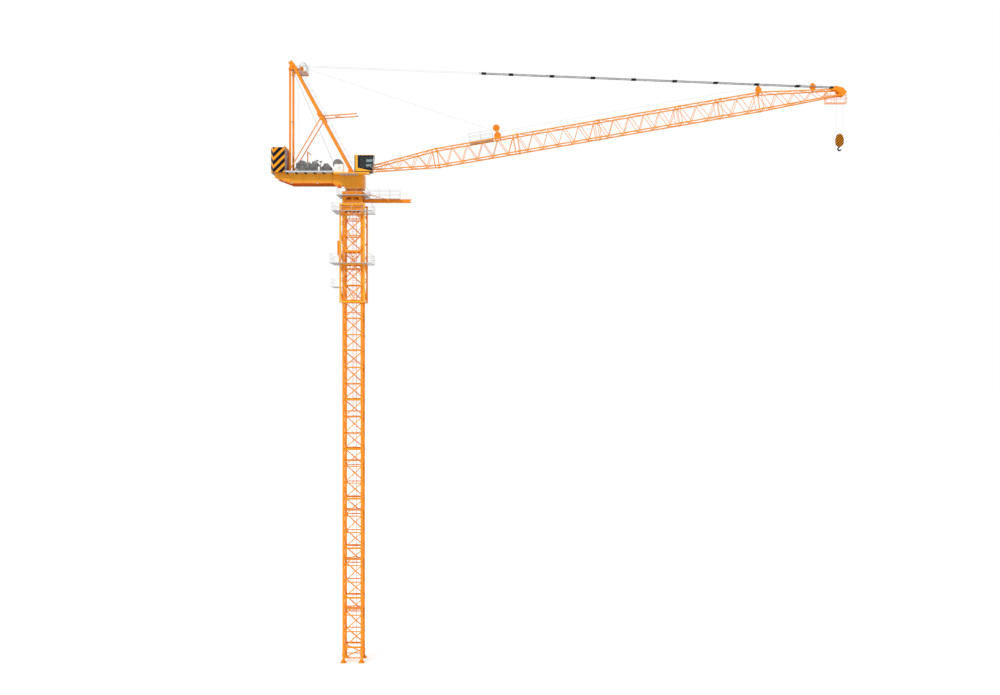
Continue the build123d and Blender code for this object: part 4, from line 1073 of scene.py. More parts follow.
hookSizes = {
    "halfWidth": 0.239,
    "halfHeight": 0.389,
    "below": 0.1,
    "barrel": 0.72,  # a lower power gives the cheek a fuller lower half
    "points": 48,
    "cheekY": 0.09,
    "cheek": 0.04,
    "axle": 0.04,
    "axleOut": 0.012,
    "bolt": 0.014,
    "boltOut": 0.008,
    "bolts": [(-0.13, -0.3), (0.13, -0.3), (-0.16, 0.1), (0.16, 0.1)],
    "crossheadX": 0.11,
    "crossheadY": 0.05,
    "crossheadZ": (-0.4, -0.25),
    "shank": (-0.28, -0.48),
    "neck": [(-0.004, 0.125), (-0.028, 0.1)],
    "shankSwell": [0.95, 0.95, 0.9, 0.92],
    "eye": -0.635,
    "bend": 0.098,
    "bendFrom": 115,
    "bendStep": 12,
    "bendSteps": 22,
    "wire": 0.042,
}


def makeHookBlock():
    size = hookSizes
    x, z = flatJoint("hoist")
    oval = []
    for i in range(size["points"]):  # a pointed arch above, a fuller barrel below
        across, up = [turn(2 * math.pi * i / size["points"]) for turn in (math.cos, math.sin)]
        power = size["barrel"] if up < 0 else 1.0
        across, up = [math.copysign(abs(value) ** power, value) for value in (across, up)]
        oval += [(x + size["halfWidth"] * across, z - size["below"] + size["halfHeight"] * up)]
    far, axle, bolt = size["cheekY"], size["cheekY"] + size["axleOut"], size["cheekY"] + size["boltOut"]
    pieces = [addSheet(oval, y, y + size["cheek"], 0.008) for y in (-far, far - size["cheek"])]
    pieces += [addPin((x, z), size["axle"], -axle, axle, 0.02)]
    pieces += [addPin((x + dx, z + dz), size["bolt"], -bolt, bolt, 0.01) for dx, dz in size["bolts"]]
    for piece in pieces:
        paint(piece, hookStripes)
    wide, heights = size["crossheadX"], [z + height for height in size["crossheadZ"]]
    pieces += [paint(addBeam((x - wide, x + wide), size["crossheadY"], heights, 0.012), blackEnamel)]
    finishPiece(joinPieces("hook_block_cheeks", pieces), "hook_block", ["hook_block"])


def makeHook():  # a forged hook, thickest at the bottom of its bend and thin at its point
    x, z = flatJoint("hoist")
    eye, bend, steps = z + hookSizes["eye"], hookSizes["bend"], hookSizes["bendSteps"]
    way = [(x, 0, z + height) for height in hookSizes["shank"]]
    way += [(x + dx, 0, eye + dz) for dx, dz in hookSizes["neck"]]
    swell = list(hookSizes["shankSwell"])
    for i in range(steps):
        turn = math.radians(hookSizes["bendFrom"] + i * hookSizes["bendStep"])
        way += [(x + bend * math.cos(turn), 0, eye + bend * math.sin(turn))]
        swell += [0.85 + 0.28 * math.sin(math.pi * i / (steps - 1)) - 0.45 * max(0.0, (i - 13) / 8)]
    hook = addTubes("hook", [way], hookSizes["wire"], 16, swell)
    finishJoined("forged_hook", [hook], blackEnamel, "hook", ["hook"])


makeHookBlock()
makeHook()
print("hook made")


# Winches: turned drums with laid rope, bearing plates, ribbed drives and a slatted guard

deckTop = 29.6405
winches = {
    "hoist": {"joint": "hoist_drum_turn", "radius": 0.24, "flange": 0.343, "half": 0.32, "stand": 0.4,
              "drive": (-2.64, -2.06), "driveHalf": 0.33, "driveHeight": 0.62, "motor": 0.18, "turns": 34},
    "luffing": {"joint": "luffing_drum_turn", "radius": 0.21, "flange": 0.3, "half": 0.28, "stand": 0.32,
                "drive": (-1.95, -1.33), "driveHalf": 0.3, "driveHeight": 0.48, "motor": 0.19, "turns": 30},
    "shaft": 0.045,
    "shaftEnd": 0.065,
    "cheek": 0.02,
    "round": 0.006,
    "dish": 0.004,
    "layDepth": 0.012,
    "layCore": 0.02,
    "plateGap": 0.025,
    "plate": 0.04,
    "plateHead": 0.09,
    "sole": 0.05,
    "soleInset": 0.02,
    "soleRear": 0.06,
    "soleFront": 0.02,
    "boss": [(0, 0.03), (0.075, 0.03), (0.085, 0.02), (0.085, 0), (0, 0)],
    "rib": 0.016,
    "ribs": 7,
    "ribHeight": 0.028,
    "fins": 16,
    "brakeGap": 0.012,
    "brakeHalf": 0.3,
    "brakeTops": (1.15, 1.05),  # of the box and its ribs, as shares of the drive's height
    "brakeRibY": 0.29,
}


def makeDrum(key):
    size = winches[key]
    centre, turns = jointPlace(size["joint"]), 2 * size["turns"]
    half, radius, rim = size["half"], size["radius"], size["flange"]
    shaft, edge, depth = winches["shaft"], winches["round"], winches["layDepth"]
    end, inside, dish = half + winches["shaftEnd"], half - winches["cheek"], half - winches["dish"]
    cheek = [(0, -end), (shaft - edge, -end), (shaft, -end + edge), (shaft, -half), (shaft * 2, -half),
             (shaft * 2, -dish), (rim * 0.75, -dish), (rim * 0.78, -half), (rim - edge, -half),
             (rim, -half + edge), (rim, -inside - edge), (rim - edge, -inside), (radius - depth, -inside)]
    lay = [(radius - depth * (1 - i % 2), -inside + i * 2 * inside / turns) for i in range(turns + 1)]
    core = radius - winches["layCore"]
    pieces = [paint(addTurned(bothFaces(cheek), centre, steps=40), machineGrey),
              paint(addTurned([(core, -inside)] + lay + [(core, inside)], centre, steps=40), ropeSteel)]
    node = size["joint"].replace("_turn", "")
    finishPiece(joinPieces(node + "_wound", pieces), node, [node])


def ribbedDrive(size):  # gearbox with ribs on its sides and a finned motor across its top
    (rear, front), half, height = size["drive"], size["driveHalf"], size["driveHeight"]
    top, ribs, fins = deckTop + height, winches["ribs"], winches["fins"]
    pieces = [addBeam((rear + 0.02, front - 0.02), half - winches["rib"], (deckTop, top), 0.03)]
    for i in range(ribs):
        z = deckTop + 0.06 + i * (height - 0.1) / ribs
        pieces += [addBeam((rear, front), half, (z, z + winches["ribHeight"]), slatBevel)]
    motor, reach = size["motor"], half - winches["plate"]
    profile = [(0, -reach), (motor * 0.35, -reach), (motor * 0.45, -reach + 0.02),
               (motor * 0.9, -reach + 0.02), (motor * 0.95, -reach + 0.05)]
    for i in range(fins):
        y = -reach + 0.07 + i * (2 * reach - 0.14) / fins
        profile += [(motor * 0.9, y), (motor, y + 0.004), (motor, y + 0.014), (motor * 0.9, y + 0.018)]
    profile += [(motor * 0.95, reach - 0.05), (motor * 0.8, reach), (0, reach)]
    pieces += [addTurned(profile, ((rear + front) / 2, 0, top), steps=28)]
    pieces += [addBeam((rear + 0.1, rear + 0.24), 0.08, (top + motor * 0.8, top + motor * 0.98), 0.01)]
    return pieces


def makeWinch(key):
    size = winches[key]
    (x, z), stand = flatJoint(size["joint"]), size["stand"]
    head, plate, sole, inset = [winches[key] for key in ("plateHead", "plate", "sole", "soleInset")]
    face = size["half"] + winches["plateGap"] + plate
    outline = [(x - stand, deckTop), (x + stand, deckTop), (x + stand * 0.8, deckTop + 0.06),
               (x + head, z + head * 0.5), (x + head * 0.5, z + head), (x - head * 0.5, z + head),
               (x - head, z + head * 0.5), (x - stand * 0.8, deckTop + 0.06)]
    pieces = []
    for side, y in ((-1, -face), (1, face - plate)):
        pieces += [addSheet(outline, y, y + plate, plateBevel)]
        boss = [(radius, side * (face + out)) for radius, out in winches["boss"]]
        pieces += [addTurned(boss, (x, 0, z), steps=24)]
    rear, front = x - stand - winches["soleRear"], x + stand + winches["soleFront"]
    for y in (inset - face, face - inset):
        pieces += [addBox((rear, y - sole, deckTop), (front, y + sole, deckTop + sole), beamBevel)]
    pieces += ribbedDrive(size)
    rear, front = x + size["flange"] + winches["brakeGap"], size["drive"][0] + 0.02
    if front - rear > 0.05:  # the brake between drum and drive
        top, ribTop = [deckTop + size["driveHeight"] * share for share in winches["brakeTops"]]
        pieces += [addBeam((rear, front), winches["brakeHalf"], (deckTop, top), 0.015)]
        for y in (-winches["brakeRibY"], winches["brakeRibY"]):
            pieces += [addBox((rear + 0.02, y - 0.03, deckTop + 0.1), (front, y + 0.03, ribTop), 0.008)]
    finishJoined(key + "_winch_set", pieces, machineGrey, "upperworks", [key + "_winch"])


guard = {
    "x": (-3.46, -2.16),
    "y": -0.405,
    "low": 0.06,
    "pitch": 0.085,
    "slats": 7,
    "slat": 0.045,
    "half": 0.012,
}
guardPosts = {"x": (-3.43, -2.72, -2.19), "half": 0.025, "y": (-0.41, -0.385)}
pedestals = {"y": -0.46, "places": [(-2.16, 0.82), (-1.94, 0.76)]}


def makeGuard():
    (x0, x1), y, half = guard["x"], guard["y"], guard["half"]
    pieces = []
    for i in range(guard["slats"]):
        z = deckTop + guard["low"] + i * guard["pitch"]
        pieces += [addBox((x0, y - half, z), (x1, y + half, z + guard["slat"]), slatBevel)]
    top = deckTop + guard["low"] + guard["slats"] * guard["pitch"]
    (near, far), half = guardPosts["y"], guardPosts["half"]
    pieces += [addBox((x - half, near, deckTop), (x + half, far, top), plateBevel) for x in guardPosts["x"]]
    for x, height in pedestals["places"]:
        stem = [(0, 0), (0.05, 0), (0.05, 0.02), (0.02, 0.03), (0.02, height - 0.09), (0.1, height - 0.06),
                (0.1, height - 0.03), (0.03, height), (0, height)]
        pieces += [addTurned(stem, (x, pedestals["y"], deckTop), axis=upright, steps=20)]
    finishJoined("winch_guard", pieces, machineGrey, "upperworks")


for key in ("hoist", "luffing"):
    makeDrum(key)
    makeWinch(key)
makeGuard()


# Electric cabinet with two louvred doors, and a small switch box on the deck

cabinet = {
    "low": (-1.06, -1.0, 29.5755),
    "high": (-0.48, -0.69, 30.1305),
    "gap": 0.012,
    "louvres": 4,
    "louvre": 0.015,
    "louvrePitch": 0.03,
    "handleX": 0.035,
    "handleHalf": 0.008,
    "handleZ": (0.27, 0.37),
    "boxLow": (-2.09, -0.62, deckTop),
    "boxHigh": (-1.98, -0.5, deckTop + 0.4),
}


def makeCabinet():
    (x0, y0, z0), (x1, y1, z1) = cabinet["low"], cabinet["high"]
    gap, middle, half = cabinet["gap"], (x0 + x1) / 2, cabinet["handleHalf"]
    pieces = [addBox((x0 + 0.01, y0 + 0.02, z0 + 0.04), (x1 - 0.01, y1 - 0.01, z1 - 0.03), beamBevel),
              addBox((x0, y0, z1 - 0.03), (x1, y1, z1), 0.008),
              addBox((x0 + 0.03, y0 + 0.04, z0), (x1 - 0.03, y1 - 0.02, z0 + 0.05)),
              addBox(cabinet["boxLow"], cabinet["boxHigh"], 0.012)]
    for left, right in ((x0 + 0.02, middle - gap / 2), (middle + gap / 2, x1 - 0.02)):
        pieces += [addBox((left, y0 + 0.004, z0 + 0.06), (right, y0 + 0.03, z1 - 0.045), beamBevel)]
        for i in range(cabinet["louvres"]):
            low = z0 + 0.1 + i * cabinet["louvrePitch"]
            high = low + cabinet["louvre"]
            pieces += [addBox((left + 0.05, y0, low), (right - 0.05, y0 + 0.02, high), sheetBevel)]
    body = paint(joinPieces("cabinet", pieces), whiteCoat)
    low, high = [z0 + height for height in cabinet["handleZ"]]
    handles = [addBox((x - half, y0, low), (x + half, y0 + 0.02, high), sheetBevel)
               for x in (middle - cabinet["handleX"], middle + cabinet["handleX"])]
    handle = paint(joinPieces("handles", handles), blackEnamel)
    piece = joinPieces("cabinet_with_doors", [body, handle])
    finishPiece(piece, "upperworks", ["electric_cabinet"])


makeCabinet()
print("winches and cabinet made")


# Cab: painted panels around tinted panes, a seat and a desk inside

cab = {
    "rear": 0.23,
    "front": 1.35,
    "floor": 29.5755,
    "roof": 30.6055,
    "near": -1.45,
    "far": -0.75,
    "wall": 0.03,
    "lean": 0.085,
    "band": 0.19,
    "trim": 0.05,
    "sillRear": 0.26,
    "sillFront": 0.07,
    "pillar": 0.33,
    "header": 0.11,
    "frontPillar": 0.04,
    "peak": 0.04,
    "farPost": 0.86,
    "farBars": (30.15, 30.29),
    "farPanes": [(29.9655, 30.15), (30.29, 30.4455)],
    "handrailX": 0.31,
    "handrail": 0.006,
    "inside": [  # cushion, back and stand of the seat, then the desk, above the floor
        ((0.55, -1.28, 0.14), (0.83, -0.94, 0.22), 0.02),
        ((0.52, -1.26, 0.2), (0.6, -0.96, 0.62), 0.025),
        ((0.62, -1.18, 0.03), (0.76, -1.04, 0.15), 0.01),
        ((0.98, -1.3, 0.03), (1.1, -0.92, 0.3), 0.02),
    ],
}


def cabSide(y, farSide):
    rear, floor, roof, trim = cab["rear"], cab["floor"], cab["roof"] - cab["wall"], cab["trim"]
    low, edge, high = floor + cab["sillRear"], floor + cab["sillFront"], cab["roof"] - cab["header"]
    back, band, inner, step = rear + cab["pillar"], rear + cab["band"], rear + trim, floor + trim

    def nose(z, inset=0.0):  # a point on the leaning front edge
        return (cab["front"] - cab["lean"] + cab["lean"] * (z - floor) / (cab["roof"] - floor) - inset, z)

    def panel(points, bevel, material):
        return paint(addSheet(points, y, y + cab["wall"], bevel), material)

    foot = (nose(edge)[0], step)
    yellow = [(inner, step), foot, nose(edge), (band, low), (band, roof), (inner, roof)]
    navy = [[(band, low), nose(edge), nose(low)],
            [(rear, floor), nose(floor), foot, (inner, step), (inner, roof), (rear, roof)],
            [(band, low), (back, low), (back, high), (band, high)],
            [(band, high), nose(high), nose(roof), (band, roof)],
            [nose(low, cab["frontPillar"]), nose(low), nose(high), nose(high, cab["frontPillar"])]]
    if farSide:  # only two lights on the far side, as seen through the near pane
        for z0, z1 in ((low, low + 0.13), cab["farBars"], (high - 0.05, high)):
            navy += [[(back, z0), nose(z0, cab["wall"]), nose(z1, cab["wall"]), (back, z1)]]
        navy += [[(back, low), (cab["farPost"], low), (cab["farPost"], high), (back, high)]]
    return [panel(yellow, 0.003, yellowEnamel)] + [panel(points, 0.002, navyEnamel) for points in navy]


def makeCab():
    rear, front, floor, roof = cab["rear"], cab["front"], cab["floor"], cab["roof"]
    near, far, wall = cab["near"], cab["far"], cab["wall"]
    under = roof - wall
    pieces = cabSide(near, False) + cabSide(far - wall, True)
    plates = [((rear, near, under), (front + cab["peak"], far, roof), 0.008, yellowEnamel),
              ((rear + 0.05, near + 0.05, under - 0.02), (front, far - 0.05, under), 0.004, navyEnamel),
              ((rear, near + wall, floor), (rear + wall, far - wall, under), 0.004, yellowEnamel),
              ((rear + wall, near + wall, floor), (front - 0.1, far - wall, floor + wall), 0.004, navyEnamel)]
    pieces += [paint(addBox(low, high, bevel), material) for low, high, bevel, material in plates]
    up = Vector((0, 0, floor))
    seat = [addBox(Vector(low) + up, Vector(high) + up, bevel) for low, high, bevel in cab["inside"]]
    pieces += [paint(joinPieces("seat", seat), blackEnamel)]
    runs = [[(cab["handrailX"], near + 0.007, floor + z) for z in (0.35, 0.8)]]
    for y in (near + 0.05, far - 0.05):
        runs += [[(front + 0.02, y, roof - 0.02), (front - 0.04, y, floor + 0.3)]]
    pieces += [paint(addTubes("handrails", runs, cab["handrail"]), blackEnamel)]
    finishPiece(joinPieces("cab_panels", pieces), "upperworks", ["cab_walls"])

    low, high, back = floor + cab["sillRear"], roof - cab["header"], rear + cab["pillar"]
    side = [(back, low), (front - 0.11, low), (front - 0.05, high), (back, high)]
    panes = [addSheet(side, near + 0.01, near + 0.016, paneBevel)]
    post, edge = cab["farPost"], front - 0.1
    for z0, z1 in cab["farPanes"]:
        light = [(post, z0), (edge, z0), (edge, z1), (post, z1)]
        panes += [addSheet(light, far - 0.016, far - 0.012, paneBevel)]
    slope = [(front - 0.07, floor + 0.03), (front - 0.064, floor + 0.03), (front + 0.01, roof - 0.04),
             (front + 0.004, roof - 0.04)]
    panes += [addSheet(slope, near + 0.035, far - 0.035, paneBevel)]
    finishJoined("cab_panes", panes, glassTint, "upperworks", ["cab_glass"])


makeCab()
print("cab made")


# Climbing frame: box columns, ring beams and thin lacing

cage = {
    "half": 0.725,
    "column": 0.049,
    "foot": 21.8,
    "head": 27.8,
    "rings": [21.85, 24.14, 27.75],
    "ringHalf": 0.045,
    "ringDepth": 0.036,
    "lacing": 0.024,
    "upper": [(0, 27.68), (0.69, 26.6), (0, 25.58)],
    "middle": [(0.69, 25.5), (0, 24.42)],
    "lower": [(0, 24.1), (0.69, 23.2), (0, 21.95)],
    "rollers": [22.3, 24.6, 27.1],
    "roller": [(0, -0.03), (0.03, -0.03), (0.035, -0.02)],
    "rollerIn": (0.075, 0.05),
    "shoe": (0.09, 0.02, 0.09),
}


def makeCage():
    half, column, ring, deep = cage["half"], cage["column"], cage["ringHalf"], cage["ringDepth"]
    reach, wide, tall = cage["shoe"]
    pieces = []
    for x in (-half, half):
        for y in (-half, half):
            low, high = (x - column, y - column, cage["foot"]), (x + column, y + column, cage["head"])
            # painted light: the near columns in brighter yellow enamel as if lit, the far ones in the lattice
            # orange
            pieces += [paint(addBox(low, high, 0.01), yellowEnamel if y < 0 else latticeEnamel)]
            inX, inY = math.copysign(1, -x), math.copysign(1, -y)
            low, high = sorted((x + inX * column, x + inX * reach))
            for z in cage["rollers"]:
                shoe = addBox((low, y - wide, z - tall), (high, y + wide, z + tall), beamBevel)
                place = (x + inX * cage["rollerIn"][0], y + inY * cage["rollerIn"][1], z)
                wheel = addTurned(bothFaces(cage["roller"]), place, steps=16)
                pieces += [paint(shoe, latticeEnamel), paint(wheel, latticeEnamel)]
    for turn in range(4):
        way = Matrix.Rotation(math.radians(90 * turn), 4, "Z")
        # painted light: the near face's ring beams and lacing in brighter yellow enamel as if lit, the other faces
        # in the lattice orange
        finish = yellowEnamel if turn == 0 else latticeEnamel
        levels, rings = ["upper", "middle", "lower"], cage["rings"]
        if turn == 1:  # open above where new sections come in
            levels, rings = ["lower"], cage["rings"][:2]
        for z in rings:
            beam = addBox((-half, -half - deep, z - ring), (half, -half + deep, z + ring), beamBevel)
            beam.data.transform(way)
            pieces += [paint(beam, finish)]
        runs = []
        for level in levels:
            runs += [[way @ Vector((side * u, -half, z)) for u, z in cage[level]] for side in bothSides]
        pieces += [paint(addTubes("lacing", runs, cage["lacing"]), finish)]
    finishPiece(joinPieces("cage", pieces), "tower", ["climbing_frame"])


makeCage()

ram = {
    "x": -0.88,
    "barrelFoot": 24.7,
    "barrel": [(0, 0), (0.075, 0), (0.085, 0.01), (0.085, 0.05), (0.075, 0.06), (0.075, 0.82), (0.085, 0.83),
               (0.085, 0.89), (0.06, 0.9), (0, 0.9)],
    "rodFoot": 24.2,
    "rod": [(0, 0), (0.035, 0), (0.035, 0.5), (0, 0.5)],
    "headX": (-1.0, -0.775),
    "headY": 0.1,
    "headZ": (25.42, 25.6),
    "plate": [(-0.99, 24.72), (-0.775, 24.66), (-0.775, 25.4), (-0.99, 25.4)],
    "plateY": (-0.1, 0.08),
    "plateThick": 0.02,
}


def makeRam():
    pieces = [addTurned(ram["barrel"], (ram["x"], 0, ram["barrelFoot"]), axis=upright, steps=24),
              addTurned(ram["rod"], (ram["x"], 0, ram["rodFoot"]), axis=upright, steps=20),
              addBeam(ram["headX"], ram["headY"], ram["headZ"], 0.012)]
    pieces += [addSheet(ram["plate"], y, y + ram["plateThick"], sheetBevel) for y in ram["plateY"]]
    finishJoined("ram_barrel", pieces, orangeEnamel, "tower", ["climbing_ram"])


makeRam()
print("climbing frame made")


# Mast: lowered sections, splice collars with bolts at each joint, ladder rungs

mast = {
    "leg": 0.55,
    "drop": 0.13,  # the bracing stands lower than in the CAD, as in the photo
    "base": 1.0,
    "head": 27.9,
    "joints": [0.87 + 3 * i for i in range(1, 9)],
    "collar": 0.068,
    "collarHeight": 0.055,
    "bolt": 0.014,
    "boltHead": 0.01,
    "boltApart": 0.03,
    "rungs": (1.3, 27.4, 0.15),
    "rungHalf": 0.11,
    "rungY": 0.46,
    "rung": 0.007,
}


def makeMast():
    for node in mastNodes:
        mesh = frame["nodes"][node].data.copy()
        for vertex in mesh.vertices:
            z = vertex.co.z
            if z < mast["head"]:
                vertex.co.z = z - mast["drop"] * min(1.0, z / mast["base"])
        finishPiece(newPiece("lowered_" + node, mesh), "tower", [node])


def makeSplices():
    collar, height, bolt, apart = mast["collar"], mast["collarHeight"], mast["bolt"], mast["boltApart"]
    one = [addBeam((-collar, collar), collar, (-height, height), 0.01)]
    for side in bothSides:
        face, out = side * collar, side * (collar + mast["boltHead"])
        head = [(0, out), (bolt, out), (bolt, face), (0, face)]
        one += [addTurned(head, (x, 0, z), steps=6) for z in (-apart, apart) for x in (-apart, apart)]
    splice = joinPieces("splice", one)
    legs = [(x, y) for x in (-mast["leg"], mast["leg"]) for y in (-mast["leg"], mast["leg"])]
    pieces = [copyPiece(splice, (*leg, z)) for z in mast["joints"] for leg in legs]
    bpy.data.objects.remove(splice)
    finishJoined("mast_splices", pieces, latticeEnamel, "tower")


def makeRungs():
    low, high, pitch = mast["rungs"]
    half, y = mast["rungHalf"], mast["rungY"]
    levels = [low + i * pitch for i in range(int((high - low) / pitch))]
    runs = [[(-half, y, z), (half, y, z)] for z in levels]
    tubes = addTubes("rungs", runs, mast["rung"], 6)
    finishJoined("mast_rungs", [tubes], orangeEnamel, "tower")


makeMast()
makeSplices()
makeRungs()
print("mast made")


# Slewing: support box with lower openings, turned rings, turret ladder

slew = {
    "foot": 28.0,
    "head": 28.55,
    "half": 0.6125,
    "wall": 0.04,
    "sill": 28.03,
    "lintel": 28.19,
    "opening": (0.42, 0.33),  # half width at the sill and at the lintel
    "post": (0.06, 0.03),
    "band": (28.36, 28.53),
    "bandOut": 0.012,
    "ribs": (-0.45, -0.15, 0.15, 0.45),
    "ribHalf": 0.01,
    "ribZ": (28.21, 28.36),
    "ribOut": 0.03,
    "tube": (0.42, 0.44),
    "top": 0.6,
    "bore": 0.382,
    "rings": [("slewing_ring_lower", "tower", 0.54, 28.55, 28.64),
              ("slewing_ring_upper", "upperworks", 0.5, 28.6405, 28.7305)],
    "groove": 0.03,
    "bolts": 28,
    "bolt": 0.012,
    "boltIn": 0.018,
    "round": 0.006,
}


def addHoop(inner, outer, low, high, steps):  # a turned ring of square section about the mast's axis
    profile = [(inner, low), (outer, low), (outer, high), (inner, high), (inner, low)]
    return addTurned(profile, (0, 0, 0), axis=upright, steps=steps)


def makeSupport():
    half, wall, out, rib = slew["half"], slew["wall"], slew["bandOut"], slew["ribHalf"]
    foot, head, sill, lintel = slew["foot"], slew["head"], slew["sill"], slew["lintel"]
    (wide, narrow), (post, neck), (low, high) = slew["opening"], slew["post"], slew["ribZ"]
    outlines = [
        [(-half, lintel), (half, lintel), (half, head), (-half, head)],
        [(-half, foot), (half, foot), (half, sill), (-half, sill)],
        [(-half, sill), (-wide, sill), (-narrow, lintel), (-half, lintel)],
        [(wide, sill), (half, sill), (half, lintel), (narrow, lintel)],
        [(-post, sill), (post, sill), (neck, lintel), (-neck, lintel)],
    ]
    pieces = []
    for turn in range(4):
        side = [addSheet(points, -half, -half + wall, sheetBevel) for points in outlines]
        edge = half + out
        side += [addBox((-edge, -edge, slew["band"][0]), (edge, -half + 0.02, slew["band"][1]), beamBevel)]
        side += [addBox((x - rib, -half - slew["ribOut"], low), (x + rib, -half, high)) for x in slew["ribs"]]
        for piece in side:
            piece.data.transform(Matrix.Rotation(math.radians(90 * turn), 4, "Z"))
        pieces += side
    pieces += [addHoop(*slew["tube"], foot + 0.01, head - 0.01, 40),
               addHoop(slew["bore"], slew["top"], head - wall, head, 40)]
    finishJoined("support_box", pieces, orangeEnamel, "tower", ["slewing_support"])


def makeRings():
    bore, edge, bolt = slew["bore"], slew["round"], slew["bolt"]
    for node, body, radius, low, high in slew["rings"]:
        step, inside, seat = (high - low) / 6, radius - slew["groove"], radius - slew["boltIn"]
        floor = low + 2.4 * step
        profile = [(bore, low), (radius - edge, low), (radius, low + edge), (radius, low + 2 * step),
                   (inside, floor), (inside, low + 3.6 * step), (radius, low + 4 * step),
                   (radius, high - edge), (radius - edge, high), (bore, high), (bore, low)]
        pieces = [addTurned(profile, (0, 0, 0), axis=upright, steps=64)]
        for i in range(slew["bolts"]):
            turn = 2 * math.pi * i / slew["bolts"]
            place = (seat * math.cos(turn), seat * math.sin(turn), floor)
            pieces += [addTurned([(0, 0), (bolt, 0), (bolt, step), (0, step)], place, axis=upright, steps=6)]
        finishJoined(node + "_turned", pieces, ochreEnamel, body, [node])


turretLadder = {
    "rear": (0.655, -0.42),
    "front": (0.752, -0.22),
    "low": 28.76,
    "high": 29.5,
    "rungs": 3,
    "stay": 0.05,
    "turretFace": 0.632,
    "tube": 0.01,
}


def makeTurretLadder():
    rear, front, low, high = [turretLadder[key] for key in ("rear", "front", "low", "high")]
    count, stay = turretLadder["rungs"], turretLadder["stay"]
    runs = [[(*place, low), (*place, high)] for place in (rear, front)]
    rungs = [low + (i + 0.5) * (high - low) / count for i in range(count)]
    runs += [[(*rear, z), (*front, z)] for z in rungs]
    runs += [[(turretLadder["turretFace"], rear[1], z), (*rear, z)] for z in (low + stay, high - stay)]
    finishJoined("turret_tube_ladder", [addTubes("ladder", runs, turretLadder["tube"])], orangeEnamel,
                 "upperworks", ["turret_ladder"])


makeSupport()
makeRings()
makeTurretLadder()
print("slewing parts made")


# Introduction beam: rails with a fork tail, cross bars and tie rods

intro = {
    "start": 0.6125,
    "end": 3.525,
    "low": 27.92,
    "high": 28.12,
    "inner": 0.06,
    "outer": 0.12,
    "web": (0.02, 0.04),
    "flange": 0.022,
    "fork": (0.13, 0.075, 0.012),  # its length, how deep its notch is, how far its points spread
    "stiffeners": (1.2, 1.8, 2.4, 3.0),
    "rodY": 0.335,
    "rodEnd": 2.15,
    "rodZ": (28.5, 28.07),
    "rod": 0.014,
}


def makeIntroduction():
    start, end, low, high, rodEnd = [intro[key] for key in ("start", "end", "low", "high", "rodEnd")]
    (length, notch, spread), flange, outer = intro["fork"], intro["flange"], intro["outer"]
    wide, stop = outer - intro["inner"], end - length - 0.01
    web = [(start, low), (end - length, low), (end, low - spread), (end - notch, (low + high) / 2),
           (end, high + spread), (end - length, high), (start, high)]
    pieces = []
    for y in (-outer, intro["inner"]):
        pieces += [addSheet(web, y + intro["web"][0], y + intro["web"][1], sheetBevel)]
        for z in (low, high - flange):
            pieces += [addBox((start, y, z), (stop, y + wide, z + flange), plateBevel)]
        for x in intro["stiffeners"]:
            pieces += [addBox((x, y + 0.004, low + 0.02), (x + 0.012, y + 0.056, high - 0.02))]
    for x, reach in ((start + 0.06, outer), (rodEnd, intro["rodY"] + 0.03), (end - 0.26, outer)):
        pieces += [addBeam((x - 0.03, x + 0.03), reach, (low + 0.04, high - 0.04), beamBevel)]
    head, foot = intro["rodZ"]
    rods = []
    for y in (-intro["rodY"], intro["rodY"]):
        rods += [[(start, y, head), (rodEnd, y, foot)]]
        clamps = [((start, y - 0.03, head - 0.04), (start + 0.06, y + 0.03, head + 0.04)),
                  ((rodEnd - 0.04, y - 0.025, foot - 0.03), (rodEnd + 0.04, y + 0.025, foot + 0.04))]
        pieces += [addBox(*clamp, beamBevel) for clamp in clamps]
    pieces += [addTubes("rods", rods, intro["rod"])]
    finishJoined("beam_rails", pieces, orangeEnamel, "tower", ["introduction_beam"])


makeIntroduction()
print("introduction beam made")


# Deck: girders with flanges and stiffeners, walkways on brackets, counterweight lugs

girder = {
    "inner": 0.55,
    "outer": 0.65,
    "x": (-4.69, 0.63),
    "belly": 29.0,
    "turretEdge": -0.49,
    "web": [(-4.69, deckTop), (0.63, deckTop), (0.63, 28.79), (-0.49, 28.79), (-0.55, 28.93), (-0.7, 28.74),
            (-0.86, 28.74), (-1.2, 29.0), (-3.75, 29.0), (-4.69, 29.35)],
    "flange": [(-4.69, 29.35), (-3.75, 29.0), (-1.2, 29.0), (-0.86, 28.74), (-0.7, 28.74)],
    "flangeThick": 0.035,
    "topFlange": 0.05,
    "stiffeners": [(-4.4, 29.25)] + [(x, 29.05) for x in (-3.75, -2.95, -2.15, -1.2, -0.49)],
    "stiffener": 0.008,
    "boss": (-0.78, 28.84),
    "bossRadius": 0.07,
    "bossOut": 0.03,
    "collars": [28.845, 28.945],
    "collarX": (-0.5, 0.632),
    "collar": 0.03,
    "lugs": (-3.66, -2.1),
    "lug": [(-0.07, 29.0), (0.02, 29.0), (0.05, 29.05), (-0.03, 29.05)],
    # a thin sheet on each girder's inner face, in deep orange: painted shade for the shaded inner faces
    "shadeLining": [(-4.6, 29.34), (-3.75, 29.02), (-1.2, 29.02), (-1.2, 29.16), (-3.72, 29.16), (-4.6, 29.46)],
}


